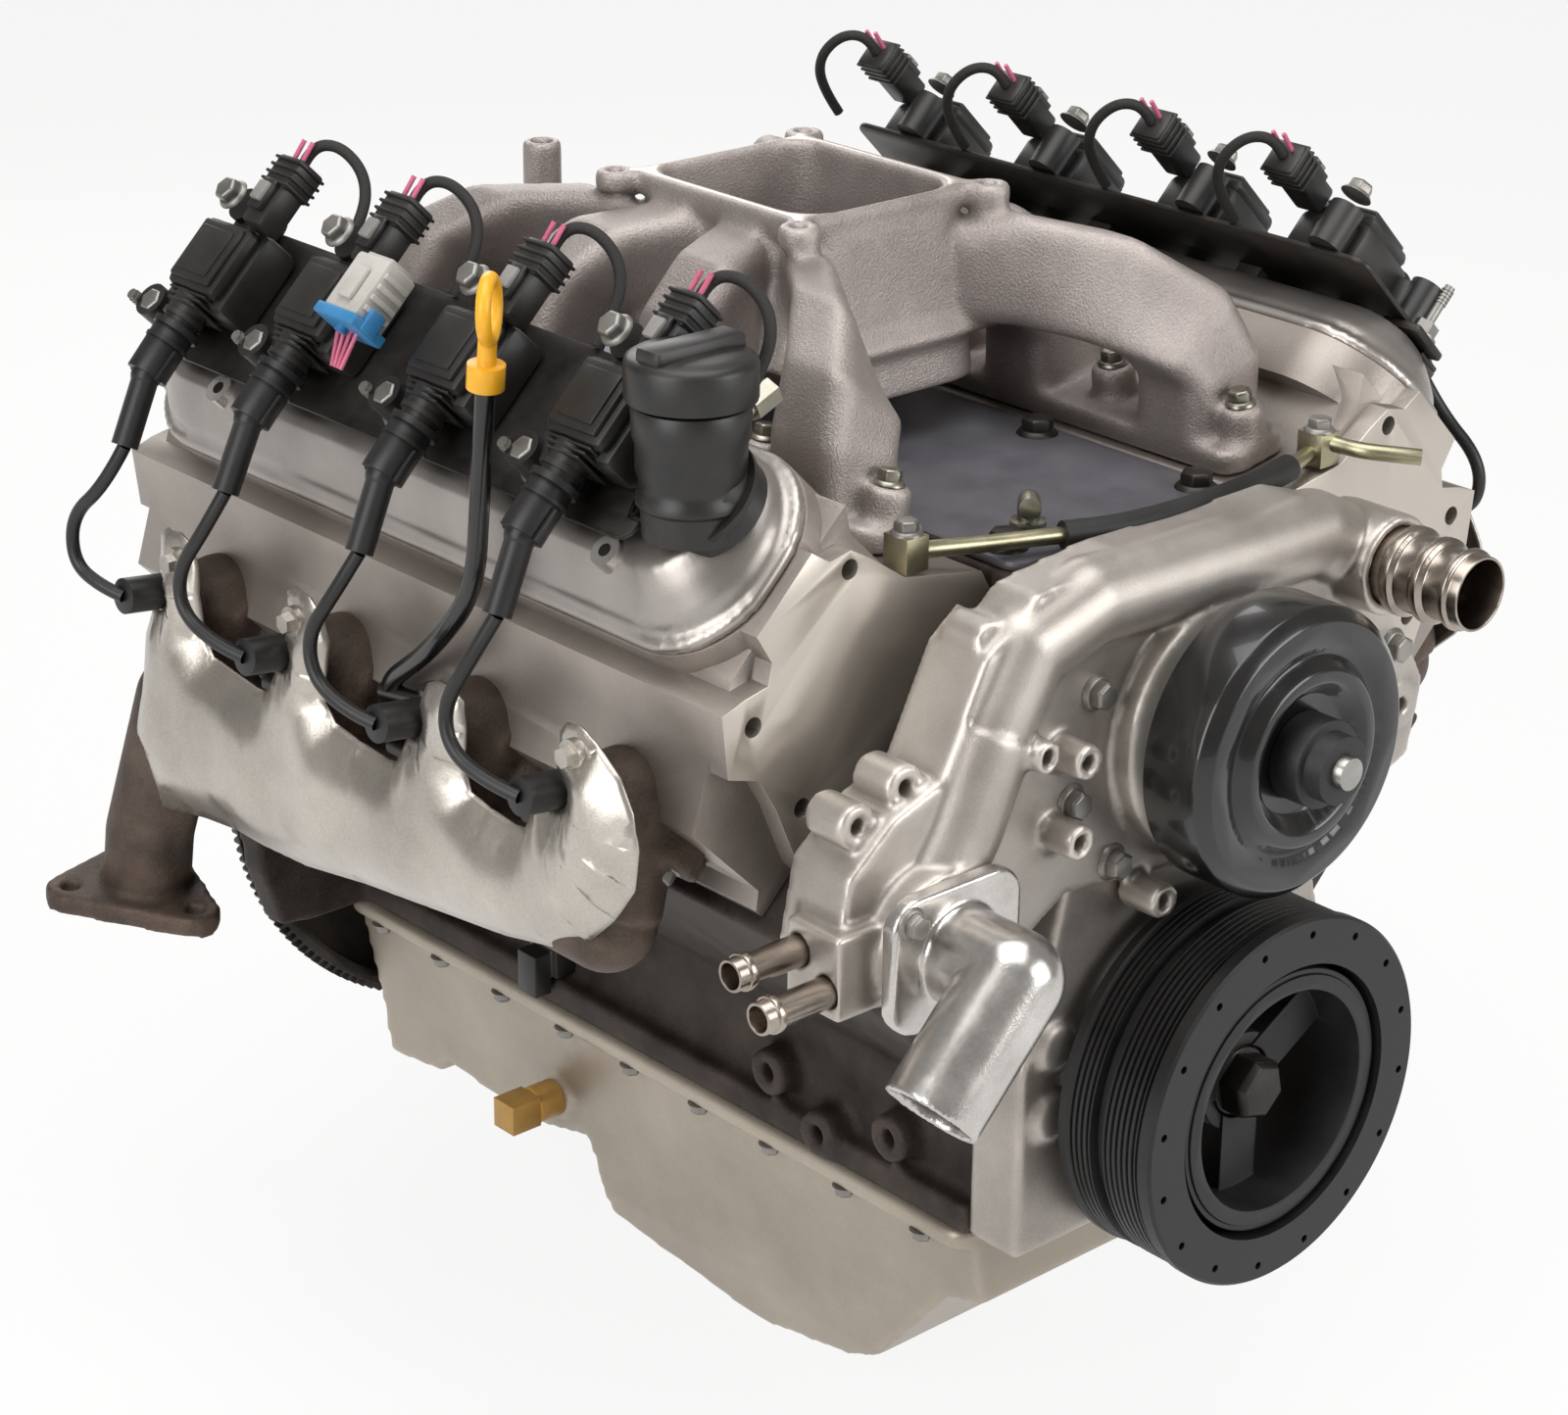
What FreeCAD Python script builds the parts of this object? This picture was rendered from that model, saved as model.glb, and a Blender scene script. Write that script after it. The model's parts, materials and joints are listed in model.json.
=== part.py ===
import FreeCAD
import Part
import math
import os

Vector = FreeCAD.Vector

# A 90 degree pushrod V8, in millimetres. The origin is on the crankshaft axis at the block's rear
# face. The front of the engine faces -Y, its right-hand bank lies at -X and +Z is up.

# Crank train
bore_spacing = 111.76
bore_diameter = 101.6
stroke = 92.0
rod_length = 154.94
deck_height = 234.7
bank_offset = 24.1
rear_cylinder_y = -90.4
cylinders_per_bank = 4
main_journal_radius = 32.5
main_journal_length = 24.0
crankpin_radius = 26.67
crankpin_length = 50.0
counterweight_radius = 82.0
rear_seal_radius = 45.0
running_clearance = 0.05
throw_angles = (90.0, 180.0, 0.0, 270.0)
pilot_bore_radius = 21.65
pilot_bore_depth = 20.0
snout_radius = 19.0

# Camshaft
cam_height = 124.8
cam_journal_radius = 27.5
cam_journal_length = 20.0
cam_core_radius = 16.0
lobe_radius = 18.5
lobe_lift = 7.0

# Block
block_front_y = -528.0
crankcase_radius = 94.0
skirt_half_width = 102.0
skirt_wall = 7.0
pan_rail_z = -79.0
pan_rail_half_width = 114.0
pan_rail_thickness = 16.0
deck_inner = 118.0
deck_outer = 78.0
valley_top_z = 262.0
valley_floor_z = 166.0
valley_pocket_half_width = 62.0
bell_radius = 190.0
bell_thickness = 20.0
bell_hole_circle = 176.0
bell_hole_radius = 5.5
bell_hole_count = 6
bell_hole_step = 36.0
mount_boss_face_x = 120.0
mount_boss_radius = 13.0
mount_hole_radius = 5.1
mount_hole_depth = 20.0
mount_boss_places = ((-333.0, 17.0), (-384.0, -44.0), (-476.0, -44.0), (-423.0, -64.0))
cap_half_width = 68.0
cap_depth = 60.0

# Cylinder heads and covers, in bank coordinates: across the bank, along the engine, up the bank
gasket_thickness = 1.3
head_rear_y = -15.0
head_front_y = -503.0
rail_height = 351.0
rail_inner = -107.0
rail_outer = 3.0
rail_end_inset = 7.0
rail_corner = 50.0
end_hole_radius = 5.0
end_hole_depth = 18.0
end_holes = ((-77.0, 325.0), (8.0, 322.0), (21.0, 266.0))
cover_lip = 7.0
cover_step_inset = 6.0
cover_step = 7.0
cover_crown = 26.0
cover_crown_inset = 27.0
exhaust_face = 62.0
port_height = 277.0
port_radius = 21.0
plug_height = 300.0
plug_seat_across = 51.0
plug_angle = 52.0
plug_offset_y = 0.0

# Intake manifold
carb_spacing_x = 131.0
carb_spacing_y = 142.8
carb_y = -272.7
carb_top_z = 393.5
carb_flange_thickness = 12.0
carb_hole_radius = 4.2
plenum_half_x = 52.0
plenum_half_y = 62.0
plenum_floor_z = 300.0
plenum_wall = 7.0
intake_face_z = 267.4
intake_face_x = 116.0
intake_tilt = 10.0
intake_face_inner = 90.5
intake_face_outer = 140.0
intake_flange = 14.0
intake_port_length = 42.0
intake_port_width = 44.0

# Front drive
pump_z = 184.5
pulley_radius = 73.0
pulley_front_y = -633.0
pulley_depth = 38.0
pump_tip_y = -660.0
pump_shaft_radius = 8.0
damper_radius = 97.1
damper_front_y = -633.9
damper_rear_y = -572.0
cover_front_y = -562.0
cover_wall = 5.0
seal_radius = 28.0

# Oil pan: side view of the underside as (y, z)
pan_wall = 6.0
pan_underside = (
    (0.0, -197.0), (-52.0, -190.0), (-62.0, -178.0), (-140.0, -186.0), (-198.0, -172.0),
    (-207.0, -222.0), (-330.0, -238.0), (-408.0, -220.0), (-436.0, -206.0), (-500.0, -134.0),
    (-528.0, -126.0),
)

ROOT2 = math.sqrt(2.0)


def box(x0, x1, y0, y1, z0, z1):
    return Part.makeBox(x1 - x0, y1 - y0, z1 - z0, Vector(x0, y0, z0))


def cylinder(start, direction, radius, length):
    return Part.makeCylinder(radius, length, Vector(*start), Vector(*direction))


def ring(start, direction, outer, inner, length):
    return cylinder(start, direction, outer, length).cut(cylinder(start, direction, inner, length))


def prism_y(points, y0, y1):
    """A closed (x, z) outline swept from y0 to y1."""
    corners = [Vector(x, y0, z) for x, z in points]
    return Part.Face(Part.makePolygon(corners + corners[:1])).extrude(Vector(0, y1 - y0, 0))


def prism_x(points, x0, x1):
    """A closed (y, z) outline swept from x0 to x1."""
    corners = [Vector(x0, y, z) for y, z in points]
    return Part.Face(Part.makePolygon(corners + corners[:1])).extrude(Vector(x1 - x0, 0, 0))


def mirrored(points):
    """The whole outline of a symmetrical section, from its +X half."""
    return list(points) + [(-x, z) for x, z in reversed(points) if x != 0]


def revolve_y(profile, x=0.0, z=0.0):
    """A (radius, y) outline turned about the line along Y through (x, z)."""
    corners = [Vector(x + r, y, z) for r, y in profile]
    face = Part.Face(Part.makePolygon(corners + corners[:1]))
    return face.revolve(Vector(x, 0, z), Vector(0, 1, 0), 360)


def rounded_wire(x0, x1, y0, y1, z, radius):
    """A flat rectangle with round corners."""
    k = radius * (1 - 1 / ROOT2)
    sides = [
        Part.LineSegment(Vector(x0 + radius, y0, z), Vector(x1 - radius, y0, z)),
        Part.Arc(Vector(x1 - radius, y0, z), Vector(x1 - k, y0 + k, z), Vector(x1, y0 + radius, z)),
        Part.LineSegment(Vector(x1, y0 + radius, z), Vector(x1, y1 - radius, z)),
        Part.Arc(Vector(x1, y1 - radius, z), Vector(x1 - k, y1 - k, z), Vector(x1 - radius, y1, z)),
        Part.LineSegment(Vector(x1 - radius, y1, z), Vector(x0 + radius, y1, z)),
        Part.Arc(Vector(x0 + radius, y1, z), Vector(x0 + k, y1 - k, z), Vector(x0, y1 - radius, z)),
        Part.LineSegment(Vector(x0, y1 - radius, z), Vector(x0, y0 + radius, z)),
        Part.Arc(Vector(x0, y0 + radius, z), Vector(x0 + k, y0 + k, z), Vector(x0 + radius, y0, z)),
    ]
    return Part.Wire([side.toShape() for side in sides])


def rounded_slab(x0, x1, y0, y1, z0, z1, radius):
    return Part.Face(rounded_wire(x0, x1, y0, y1, z0, radius)).extrude(Vector(0, 0, z1 - z0))


def hexagon(centre, direction, across, height):
    """A hexagon head standing on its seat at centre."""
    reach = across / 2 / math.cos(math.pi / 6)
    corners = [Vector(reach * math.cos(math.pi / 3 * i), reach * math.sin(math.pi / 3 * i), 0)
               for i in range(7)]
    head = Part.Face(Part.makePolygon(corners)).extrude(Vector(0, 0, height))
    head.Placement = FreeCAD.Placement(
        Vector(*centre), FreeCAD.Rotation(Vector(0, 0, 1), Vector(*direction)))
    return head


def tube(points, radius, inner=0.0):
    """A pipe whose straight runs are joined by tangent arcs as large as the runs allow."""
    path = [Vector(*p) for p in points]
    edges = []
    start = path[0]
    for before, here, after in zip(path, path[1:], path[2:]):
        run_in = here - before
        run_out = after - here
        turn = run_in.getAngle(run_out)
        bend = 0.45 * min(run_in.Length, run_out.Length) / math.tan(turn / 2)
        reach = bend * math.tan(turn / 2)
        a = here - run_in.normalize() * reach
        b = here + run_out.normalize() * reach
        inward = ((a + b) * 0.5 - here).normalize()
        middle = here + inward * (bend / math.cos(turn / 2) - bend)
        edges.append(Part.LineSegment(start, a).toShape())
        edges.append(Part.Arc(a, middle, b).toShape())
        start = b
    edges.append(Part.LineSegment(start, path[-1]).toShape())
    wire = Part.Wire(edges)
    heading = path[1] - path[0]

    def sweep(r):
        section = Part.Wire(Part.makeCircle(r, path[0], heading))
        return wire.makePipeShell([section], True, False)

    pipe = sweep(radius)
    return pipe.cut(sweep(inner)) if inner else pipe


def knee_pipe(points, radius):
    """A cast pipe: straight barrels with a ball at each knee."""
    path = [Vector(*p) for p in points]
    barrels = []
    for here, there in zip(path, path[1:]):
        barrels.append(Part.makeCylinder(radius, (there - here).Length, here, there - here))
    barrels += [Part.makeSphere(radius, knee) for knee in path[1:-1]]
    return fused(barrels)


def seat(shape, side):
    """Place a shape drawn in bank coordinates on the left (+1) or right (-1) bank."""
    placed = shape.copy()
    placed.rotate(Vector(0, 0, 0), Vector(0, 1, 0), 45)
    if side > 0:
        placed.translate(Vector(0, -bank_offset, 0))
        return placed
    return placed.mirror(Vector(0, 0, 0), Vector(1, 0, 0))


def bank_point(side, across, y, height):
    """World place of a point given in bank coordinates."""
    shift = bank_offset if side > 0 else 0.0
    return (side * (height + across) / ROOT2, y - shift, (height - across) / ROOT2)


def cylinder_y(i):
    return rear_cylinder_y - i * bore_spacing


def throw_y(i):
    return cylinder_y(i) - bank_offset / 2


def main_y(i):
    return throw_y(0) + bore_spacing / 2 - i * bore_spacing


def fused(shapes):
    result = shapes[0]
    for shape in shapes[1:]:
        result = result.fuse(shape)
    return result.removeSplitter()


def group(shapes):
    return Part.makeCompound(shapes)


def bore_rows():
    return range(cylinders_per_bank)


def main_rows():
    return range(cylinders_per_bank + 1)


def engine_block():
    """Deep-skirt cast block with two decks, an open valley, five bulkheads and a bell-housing face."""
    deck_out = ((deck_height + deck_outer) / ROOT2, (deck_height - deck_outer) / ROOT2)
    barrel_foot = ((150.0 + deck_outer) / ROOT2, (150.0 - deck_outer) / ROOT2)
    deck_in = ((deck_height - deck_inner) / ROOT2, (deck_height + deck_inner) / ROOT2)
    half = [
        (0, valley_top_z), (deck_in[0], valley_top_z), deck_in, deck_out, barrel_foot,
        (skirt_half_width, -10.0), (skirt_half_width, pan_rail_z + pan_rail_thickness),
        (pan_rail_half_width, pan_rail_z + pan_rail_thickness), (pan_rail_half_width, pan_rail_z),
        (0, pan_rail_z),
    ]
    body = prism_y(mirrored(half), 0, block_front_y)
    bell = [(bell_radius * math.cos(a), bell_radius * math.sin(a)) for a in
            [math.radians(d) for d in range(-24, 205, 12)]]
    body = body.fuse(prism_y(bell + [(-150, pan_rail_z), (150, pan_rail_z)], 0, -bell_thickness))
    for side in (-1, 1):
        for y, z in mount_boss_places:
            boss = cylinder((side * (skirt_half_width - 4), y, z), (side, 0, 0), mount_boss_radius,
                            mount_boss_face_x - skirt_half_width + 4)
            body = body.fuse(boss)
    cuts = []
    pocket = valley_pocket_half_width
    cuts.append(box(-pocket, pocket, block_front_y + 30, -30, valley_floor_z, valley_top_z + 1))
    for i in bore_rows():
        rear = main_y(i) - main_journal_length / 2
        front = main_y(i + 1) + main_journal_length / 2
        cuts.append(cylinder((0, front, 0), (0, 1, 0), crankcase_radius, rear - front))
        inner = skirt_half_width - skirt_wall
        cuts.append(box(-inner, inner, front, rear, pan_rail_z - 1, 0))
        for side in (-1, 1):
            bore = cylinder((0, cylinder_y(i), crankcase_radius - 2), (0, 0, 1),
                            bore_diameter / 2, deck_height)
            cuts.append(seat(bore, side))
            shift = bank_offset if side > 0 else 0
            window = box(-46, 46, max(front, cylinder_y(i) - 50 - shift) + shift,
                         min(rear, cylinder_y(i) + 50 - shift) + shift, 60, crankcase_radius + 4)
            cuts.append(seat(window, side))
        for side in (-1, 1):
            for y, z in mount_boss_places:
                cuts.append(cylinder((side * (mount_boss_face_x - mount_hole_depth), y, z),
                                     (side, 0, 0), mount_hole_radius, mount_hole_depth + 1))
    for i in range(bell_hole_count):
        a = math.radians(bell_hole_step * i)
        cuts.append(cylinder((bell_hole_circle * math.cos(a), -bell_thickness - 1,
                              bell_hole_circle * math.sin(a)), (0, 1, 0), bell_hole_radius,
                             bell_thickness + 2))
    cuts.append(box(-cap_half_width, cap_half_width, block_front_y - 1, 1, pan_rail_z - 1, 0))
    cuts.append(cylinder((0, block_front_y - 1, 0), (0, 1, 0),
                         main_journal_radius + running_clearance, -block_front_y + 2))
    cuts.append(cylinder((0, main_y(0) + 12, 0), (0, 1, 0), rear_seal_radius + 6, 60))
    cuts.append(cylinder((0, block_front_y - 1, cam_height), (0, 1, 0),
                         cam_journal_radius + running_clearance, -block_front_y - 15))
    return body.cut(group(cuts)).removeSplitter()


def main_bearing_caps():
    caps = []
    for i in main_rows():
        half = main_journal_length / 2
        y0 = main_y(i) - half
        cap = prism_y([(-cap_half_width, 0), (cap_half_width, 0), (cap_half_width, -34),
                       (cap_half_width - 22, -cap_depth), (22 - cap_half_width, -cap_depth),
                       (-cap_half_width, -34)], y0, y0 + main_journal_length)
        caps.append(cap.cut(cylinder((0, y0 - 1, 0), (0, 1, 0),
                                     main_journal_radius + running_clearance, 2 * half + 2)))
    return group(caps)


def crankshaft():
    """Cross-plane crank: five mains, four two-rod pins and eight cheeks with counterweights."""
    rear_end = 12.0
    parts = [cylinder((0, main_y(0) + 12.5, 0), (0, 1, 0), rear_seal_radius,
                      rear_end - main_y(0) - 12.5)]
    for i in main_rows():
        parts.append(cylinder((0, main_y(i) - main_journal_length / 2 - 0.5, 0), (0, 1, 0),
                              main_journal_radius, main_journal_length + 1))
    cheek = bore_spacing / 2 - main_journal_length / 2 - crankpin_length / 2 - 0.4
    for i, angle in zip(bore_rows(), throw_angles):
        pin = cylinder((0, throw_y(i) - crankpin_length / 2 - 1, stroke / 2), (0, 1, 0),
                       crankpin_radius, crankpin_length + 2)
        webs = [pin]
        for start in (throw_y(i) + crankpin_length / 2, throw_y(i) - crankpin_length / 2 - cheek):
            wide = counterweight_radius * math.cos(math.radians(20))
            low = counterweight_radius * math.sin(math.radians(20))
            outline = [(24, stroke / 2 + 27), (34, stroke / 2 + 6), (40, 0), (wide, -low)]
            sweep = [(counterweight_radius * math.sin(math.radians(a)),
                      -counterweight_radius * math.cos(math.radians(a))) for a in (52, 32, 11)]
            webs.append(prism_y(mirrored(outline + sweep), start, start + cheek))
        throw = fused(webs)
        throw.rotate(Vector(0, 0, 0), Vector(0, 1, 0), angle)
        parts.append(throw)
    front_main = main_y(cylinders_per_bank) - main_journal_length / 2
    parts.append(cylinder((0, damper_front_y + 36, 0), (0, 1, 0), snout_radius,
                          front_main - damper_front_y - 36))
    shaft = fused(parts)
    pilot = cylinder((0, rear_end - pilot_bore_depth, 0), (0, 1, 0), pilot_bore_radius,
                     pilot_bore_depth + 1)
    return shaft.cut(pilot).removeSplitter()


def camshaft():
    """Five journals and sixteen lobes on one core."""
    front = block_front_y - 11
    parts = [cylinder((0, front, cam_height), (0, 1, 0), cam_core_radius, -25 - front)]
    for i in main_rows():
        parts.append(cylinder((0, main_y(i) - cam_journal_length / 2, cam_height), (0, 1, 0),
                              cam_journal_radius, cam_journal_length))
    lobe_number = 0
    for i in bore_rows():
        for offset in (32.0, 12.0, -14.0, -34.0):
            turn = math.radians(lobe_number * 135.0)
            centre = (lobe_lift * math.sin(turn), throw_y(i) + offset - 6,
                      cam_height + lobe_lift * math.cos(turn))
            parts.append(cylinder(centre, (0, 1, 0), lobe_radius, 12))
            lobe_number += 1
    return fused(parts)


def sprocket(z, radius, teeth, y0, y1, hub_radius):
    outline = []
    for i in range(teeth):
        for share, r in ((0.0, radius - 4), (0.3, radius), (0.6, radius), (0.9, radius - 4)):
            a = 2 * math.pi * (i + share) / teeth
            outline.append((r * math.sin(a), z + r * math.cos(a)))
    wheel = prism_y(outline, y0, y1)
    return wheel.cut(cylinder((0, y1 - 1, z), (0, 1, 0), hub_radius, y0 - y1 + 2))


chain_y = (block_front_y - 12.0, block_front_y - 24.0)
cam_sprocket_radius = 62.0
crank_sprocket_radius = 31.0


def crank_sprocket():
    return sprocket(0, crank_sprocket_radius, 18, chain_y[0], chain_y[1], snout_radius)


def cam_sprocket():
    wheel = sprocket(cam_height, cam_sprocket_radius, 36, chain_y[0], chain_y[1], cam_core_radius)
    cap = cylinder((0, chain_y[1] - 4, cam_height), (0, 1, 0), cam_core_radius + 8, 4)
    return wheel.fuse(cap).removeSplitter()


def timing_chain():
    """Closed loop round both sprockets, just clear of their teeth."""
    gap = 0.4
    thickness = 7.0

    def loop(extra):
        low = crank_sprocket_radius + extra
        high = cam_sprocket_radius + extra
        lean = math.asin((high - low) / cam_height)
        c, s = math.cos(lean), math.sin(lean)
        y = chain_y[1]
        edges = [
            Part.Arc(Vector(-low * c, y, -low * s), Vector(0, y, -low), Vector(low * c, y, -low * s)),
            Part.LineSegment(Vector(low * c, y, -low * s), Vector(high * c, y, cam_height - high * s)),
            Part.Arc(Vector(high * c, y, cam_height - high * s), Vector(0, y, cam_height + high),
                     Vector(-high * c, y, cam_height - high * s)),
            Part.LineSegment(Vector(-high * c, y, cam_height - high * s), Vector(-low * c, y, -low * s)),
        ]
        return Part.Face(Part.Wire([e.toShape() for e in edges])).extrude(
            Vector(0, chain_y[0] - chain_y[1], 0))

    return loop(gap + thickness).cut(loop(gap))


cover_outline = ((0, 208.0), (52.0, 196.0), (80.0, 164.0), (88.0, 110.0), (100.0, 60.0),
                 (112.0, 20.0), (112.0, pan_rail_z), (0, pan_rail_z))


def front_cover():
    """Cast cover over the timing drive, with its seal bore and raised lumps."""
    body = prism_y(mirrored(cover_outline), block_front_y, cover_front_y)
    inside = [(x - 8 if x else 0, z - 8 if z > 0 else z + 10) for x, z in cover_outline]
    body = body.cut(prism_y(mirrored(inside), block_front_y + 1, cover_front_y + cover_wall))
    for x, z in ((-90.0, 34.0), (-92.0, -4.0), (90.0, 34.0), (92.0, -4.0)):
        body = body.fuse(cylinder((x, cover_front_y - 5, z), (0, 1, 0), 12, 6))
    body = body.fuse(cylinder((0, cover_front_y - 6, 0), (0, 1, 0), seal_radius + 12, 8))
    return body.cut(cylinder((0, cover_front_y - 8, 0), (0, 1, 0), seal_radius, 20)).removeSplitter()


damper_hub_radius = 26.0
damper_hub_rear_y = -560.0
hub_rim_outer = 66.0
hub_rim_inner = 58.0
damper_rubber = 3.0


def damper_hub():
    """Pressed hub, three spokes and the rim that carries the rubber."""
    rim = ring((0, damper_front_y + 2, 0), (0, 1, 0), hub_rim_outer, hub_rim_inner, 48)
    nose = cylinder((0, -604, 0), (0, 1, 0), damper_hub_radius, damper_hub_rear_y + 604)
    arms = [rim, nose]
    for i in range(3):
        arm = box(-13, 13, -606, -592, 10, hub_rim_inner + 3)
        arm.rotate(Vector(0, 0, 0), Vector(0, 1, 0), 60 + 120 * i)
        arms.append(arm)
    body = fused(arms)
    return body.cut(cylinder((0, -700, 0), (0, 1, 0), snout_radius, 200)).removeSplitter()


def damper_rubber_ring():
    return ring((0, damper_front_y + 3, 0), (0, 1, 0), hub_rim_outer + damper_rubber, hub_rim_outer, 46)


def damper_ring():
    """Inertia ring with two grooved belt tracks."""
    inner = hub_rim_outer + damper_rubber
    r = damper_radius
    profile = [(inner, damper_front_y), (r - 2, damper_front_y), (r, damper_front_y + 2),
               (r, -628), (r - 3, -626), (r - 3, -607), (r, -605), (r, -600), (r - 5, -598),
               (r - 5, -596), (r - 1, -594), (r - 3, -592), (r - 3, -576), (r - 1, -574),
               (r - 1, damper_rear_y), (inner, damper_rear_y)]
    return revolve_y(profile)


def crank_bolt():
    washer = ring((0, -608, 0), (0, 1, 0), 17, 9, 4)
    head = hexagon((0, -608, 0), (0, -1, 0), 24, 12)
    shank = cylinder((0, -608, 0), (0, 1, 0), 9, damper_front_y + 36 + 608)
    return fused([head, washer, shank])


def flexplate():
    """Pressed plate on the crank flange, with the starter ring gear round its edge."""
    plate = revolve_y([(pilot_bore_radius + 8, 12), (60, 12), (70, 16), (170, 16), (170, 10),
                       (178, 10), (178, 22), (166, 22), (166, 19), (68, 19), (58, 15),
                       (pilot_bore_radius + 8, 15)])
    for i in range(6):
        a = math.radians(60 * i + 30)
        hole = cylinder((120 * math.sin(a), 5, 120 * math.cos(a)), (0, 1, 0), 16, 30)
        plate = plate.cut(hole)
    return plate


def flexplate_bolts():
    places = [math.radians(60 * i) for i in range(6)]
    return group([hexagon((37 * math.sin(a), 15, 37 * math.cos(a)), (0, 1, 0), 14, 7)
                  for a in places])


def rear_seal_cover():
    """Flat housing of the rear crank seal, bolted to the block's rear face."""
    plate = prism_y([(-66, 60), (66, 60), (84, 20), (84, pan_rail_z), (-84, pan_rail_z), (-84, 20)],
                    0, 9)
    return plate.cut(cylinder((0, -2, 0), (0, 1, 0), rear_seal_radius + running_clearance, 14))


def piston_heights(side):
    heights = []
    for angle in throw_angles:
        pin_x = stroke / 2 * math.sin(math.radians(angle))
        pin_z = stroke / 2 * math.cos(math.radians(angle))
        along = (side * pin_x + pin_z) / ROOT2
        across = (side * pin_x - pin_z) / ROOT2
        heights.append(along + math.sqrt(rod_length ** 2 - across ** 2))
    return heights


piston_crown = 33.8
piston_skirt = 18.0


def pistons():
    """Crown, ring lands and pin bore, each at its height for the crank's rest angle."""
    shapes = []
    for side in (-1, 1):
        for i, height in zip(bore_rows(), piston_heights(side)):
            r = bore_diameter / 2 - running_clearance
            y = cylinder_y(i)
            solid = cylinder((0, y, height - piston_skirt), (0, 0, 1), r, piston_crown + piston_skirt)
            hollow = cylinder((0, y, height - piston_skirt - 1), (0, 0, 1), r - 12, piston_skirt + 17)
            flats = [box(-60, 60, y + low, y + high, height - piston_skirt - 1, height + 8)
                     for low, high in ((-60, -32), (32, 60))]
            shapes.append(seat(solid.cut(group([hollow] + flats)), side))
    return group(shapes)


def intake_line(x):
    """World height of the sloped intake face at a distance x from the centre plane."""
    return intake_face_z + (x - intake_face_x) * math.tan(math.radians(intake_tilt))


def intake_face_point(x):
    """The same place as (across, up the bank)."""
    return ((x - intake_line(x)) / ROOT2, (x + intake_line(x)) / ROOT2)


def head_end_outline():
    """Machined end face of a head, as (across, up the bank)."""
    return [(-deck_inner, deck_height + gasket_thickness), intake_face_point(intake_face_inner),
            intake_face_point(intake_face_outer), (-88, 317),
            (-84, 331), (-73, 338), (-70, rail_height), (-24, rail_height), (-20, 334), (-11, 328),
            (1, 336), (14, 342), (34, 317), (25, 300), (30, 280), (44, 245),
            (44, deck_height + gasket_thickness)]


def cylinder_head(side):
    """Aluminium head: end pads, cover rail, sloped intake face, exhaust and plug side."""
    foot = deck_height + gasket_thickness
    pads = prism_y(head_end_outline(), head_front_y, head_rear_y)
    inset = rail_end_inset + 5
    body = prism_y([(-deck_inner, foot), intake_face_point(intake_face_inner),
                    intake_face_point(intake_face_outer), (-93, 325), (rail_inner + 6, 338),
                    (rail_outer - 8, 338), (30, 322), (exhaust_face, 305), (exhaust_face, 248),
                    (deck_outer - 8, 242), (deck_outer - 8, foot)],
                   head_front_y + inset, head_rear_y - inset)
    rail = rounded_slab(rail_inner, rail_outer, head_front_y + rail_end_inset,
                        head_rear_y - rail_end_inset, 322, rail_height, rail_corner)
    head = fused([pads, body, rail])
    cuts = []
    for i in bore_rows():
        y = cylinder_y(i)
        cuts.append(cylinder((exhaust_face - 40, y, port_height), (1, 0, 0), port_radius, 60))
        cuts.append(cylinder((0, y, foot), (0, 0, 1), bore_diameter / 2 - 6, 9))
        cuts.append(intake_frame(intake_port(30), y))
        cuts.append(spark_plug_frame(cylinder((0, 0, 0), (0, 0, 1), 13, 80), y))
    for across, up in end_holes:
        for y, direction in ((head_front_y, 1), (head_rear_y, -1)):
            cuts.append(cylinder((across, y - direction, up), (0, direction, 0), end_hole_radius,
                                 end_hole_depth + 1))
    return seat(head.cut(group(cuts)).removeSplitter(), side)


def intake_port(depth):
    """Port opening drawn flat on the intake face and sunk to depth."""
    return box(-intake_port_length / 2, intake_port_length / 2, -intake_port_width / 2,
               intake_port_width / 2, -depth, 60)


def intake_frame(shape, y):
    """Carry a shape drawn flat on the intake face (across, along, off the face) to bank axes."""
    placed = shape.copy()
    placed.rotate(Vector(0, 0, 0), Vector(0, 1, 0), -45 - intake_tilt)
    across = (intake_face_x - intake_face_z) / ROOT2
    up = (intake_face_x + intake_face_z) / ROOT2
    placed.translate(Vector(across, y, up))
    return placed


def spark_plug_frame(shape, y):
    """Carry a shape drawn along +Z from the plug seat to bank coordinates."""
    placed = shape.copy()
    placed.rotate(Vector(0, 0, 0), Vector(0, 1, 0), 90 - plug_angle)
    placed.translate(Vector(plug_seat_across, y + plug_offset_y, plug_height))
    return placed


def head_gaskets():
    sheets = []
    for side in (-1, 1):
        sheet = box(-deck_inner, deck_outer - 8, head_front_y + 12, head_rear_y - 12, deck_height,
                    deck_height + gasket_thickness)
        holes = [cylinder((0, cylinder_y(i), deck_height - 1), (0, 0, 1), bore_diameter / 2, 4)
                 for i in bore_rows()]
        sheets.append(seat(sheet.cut(group(holes)), side))
    return group(sheets)


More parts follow.
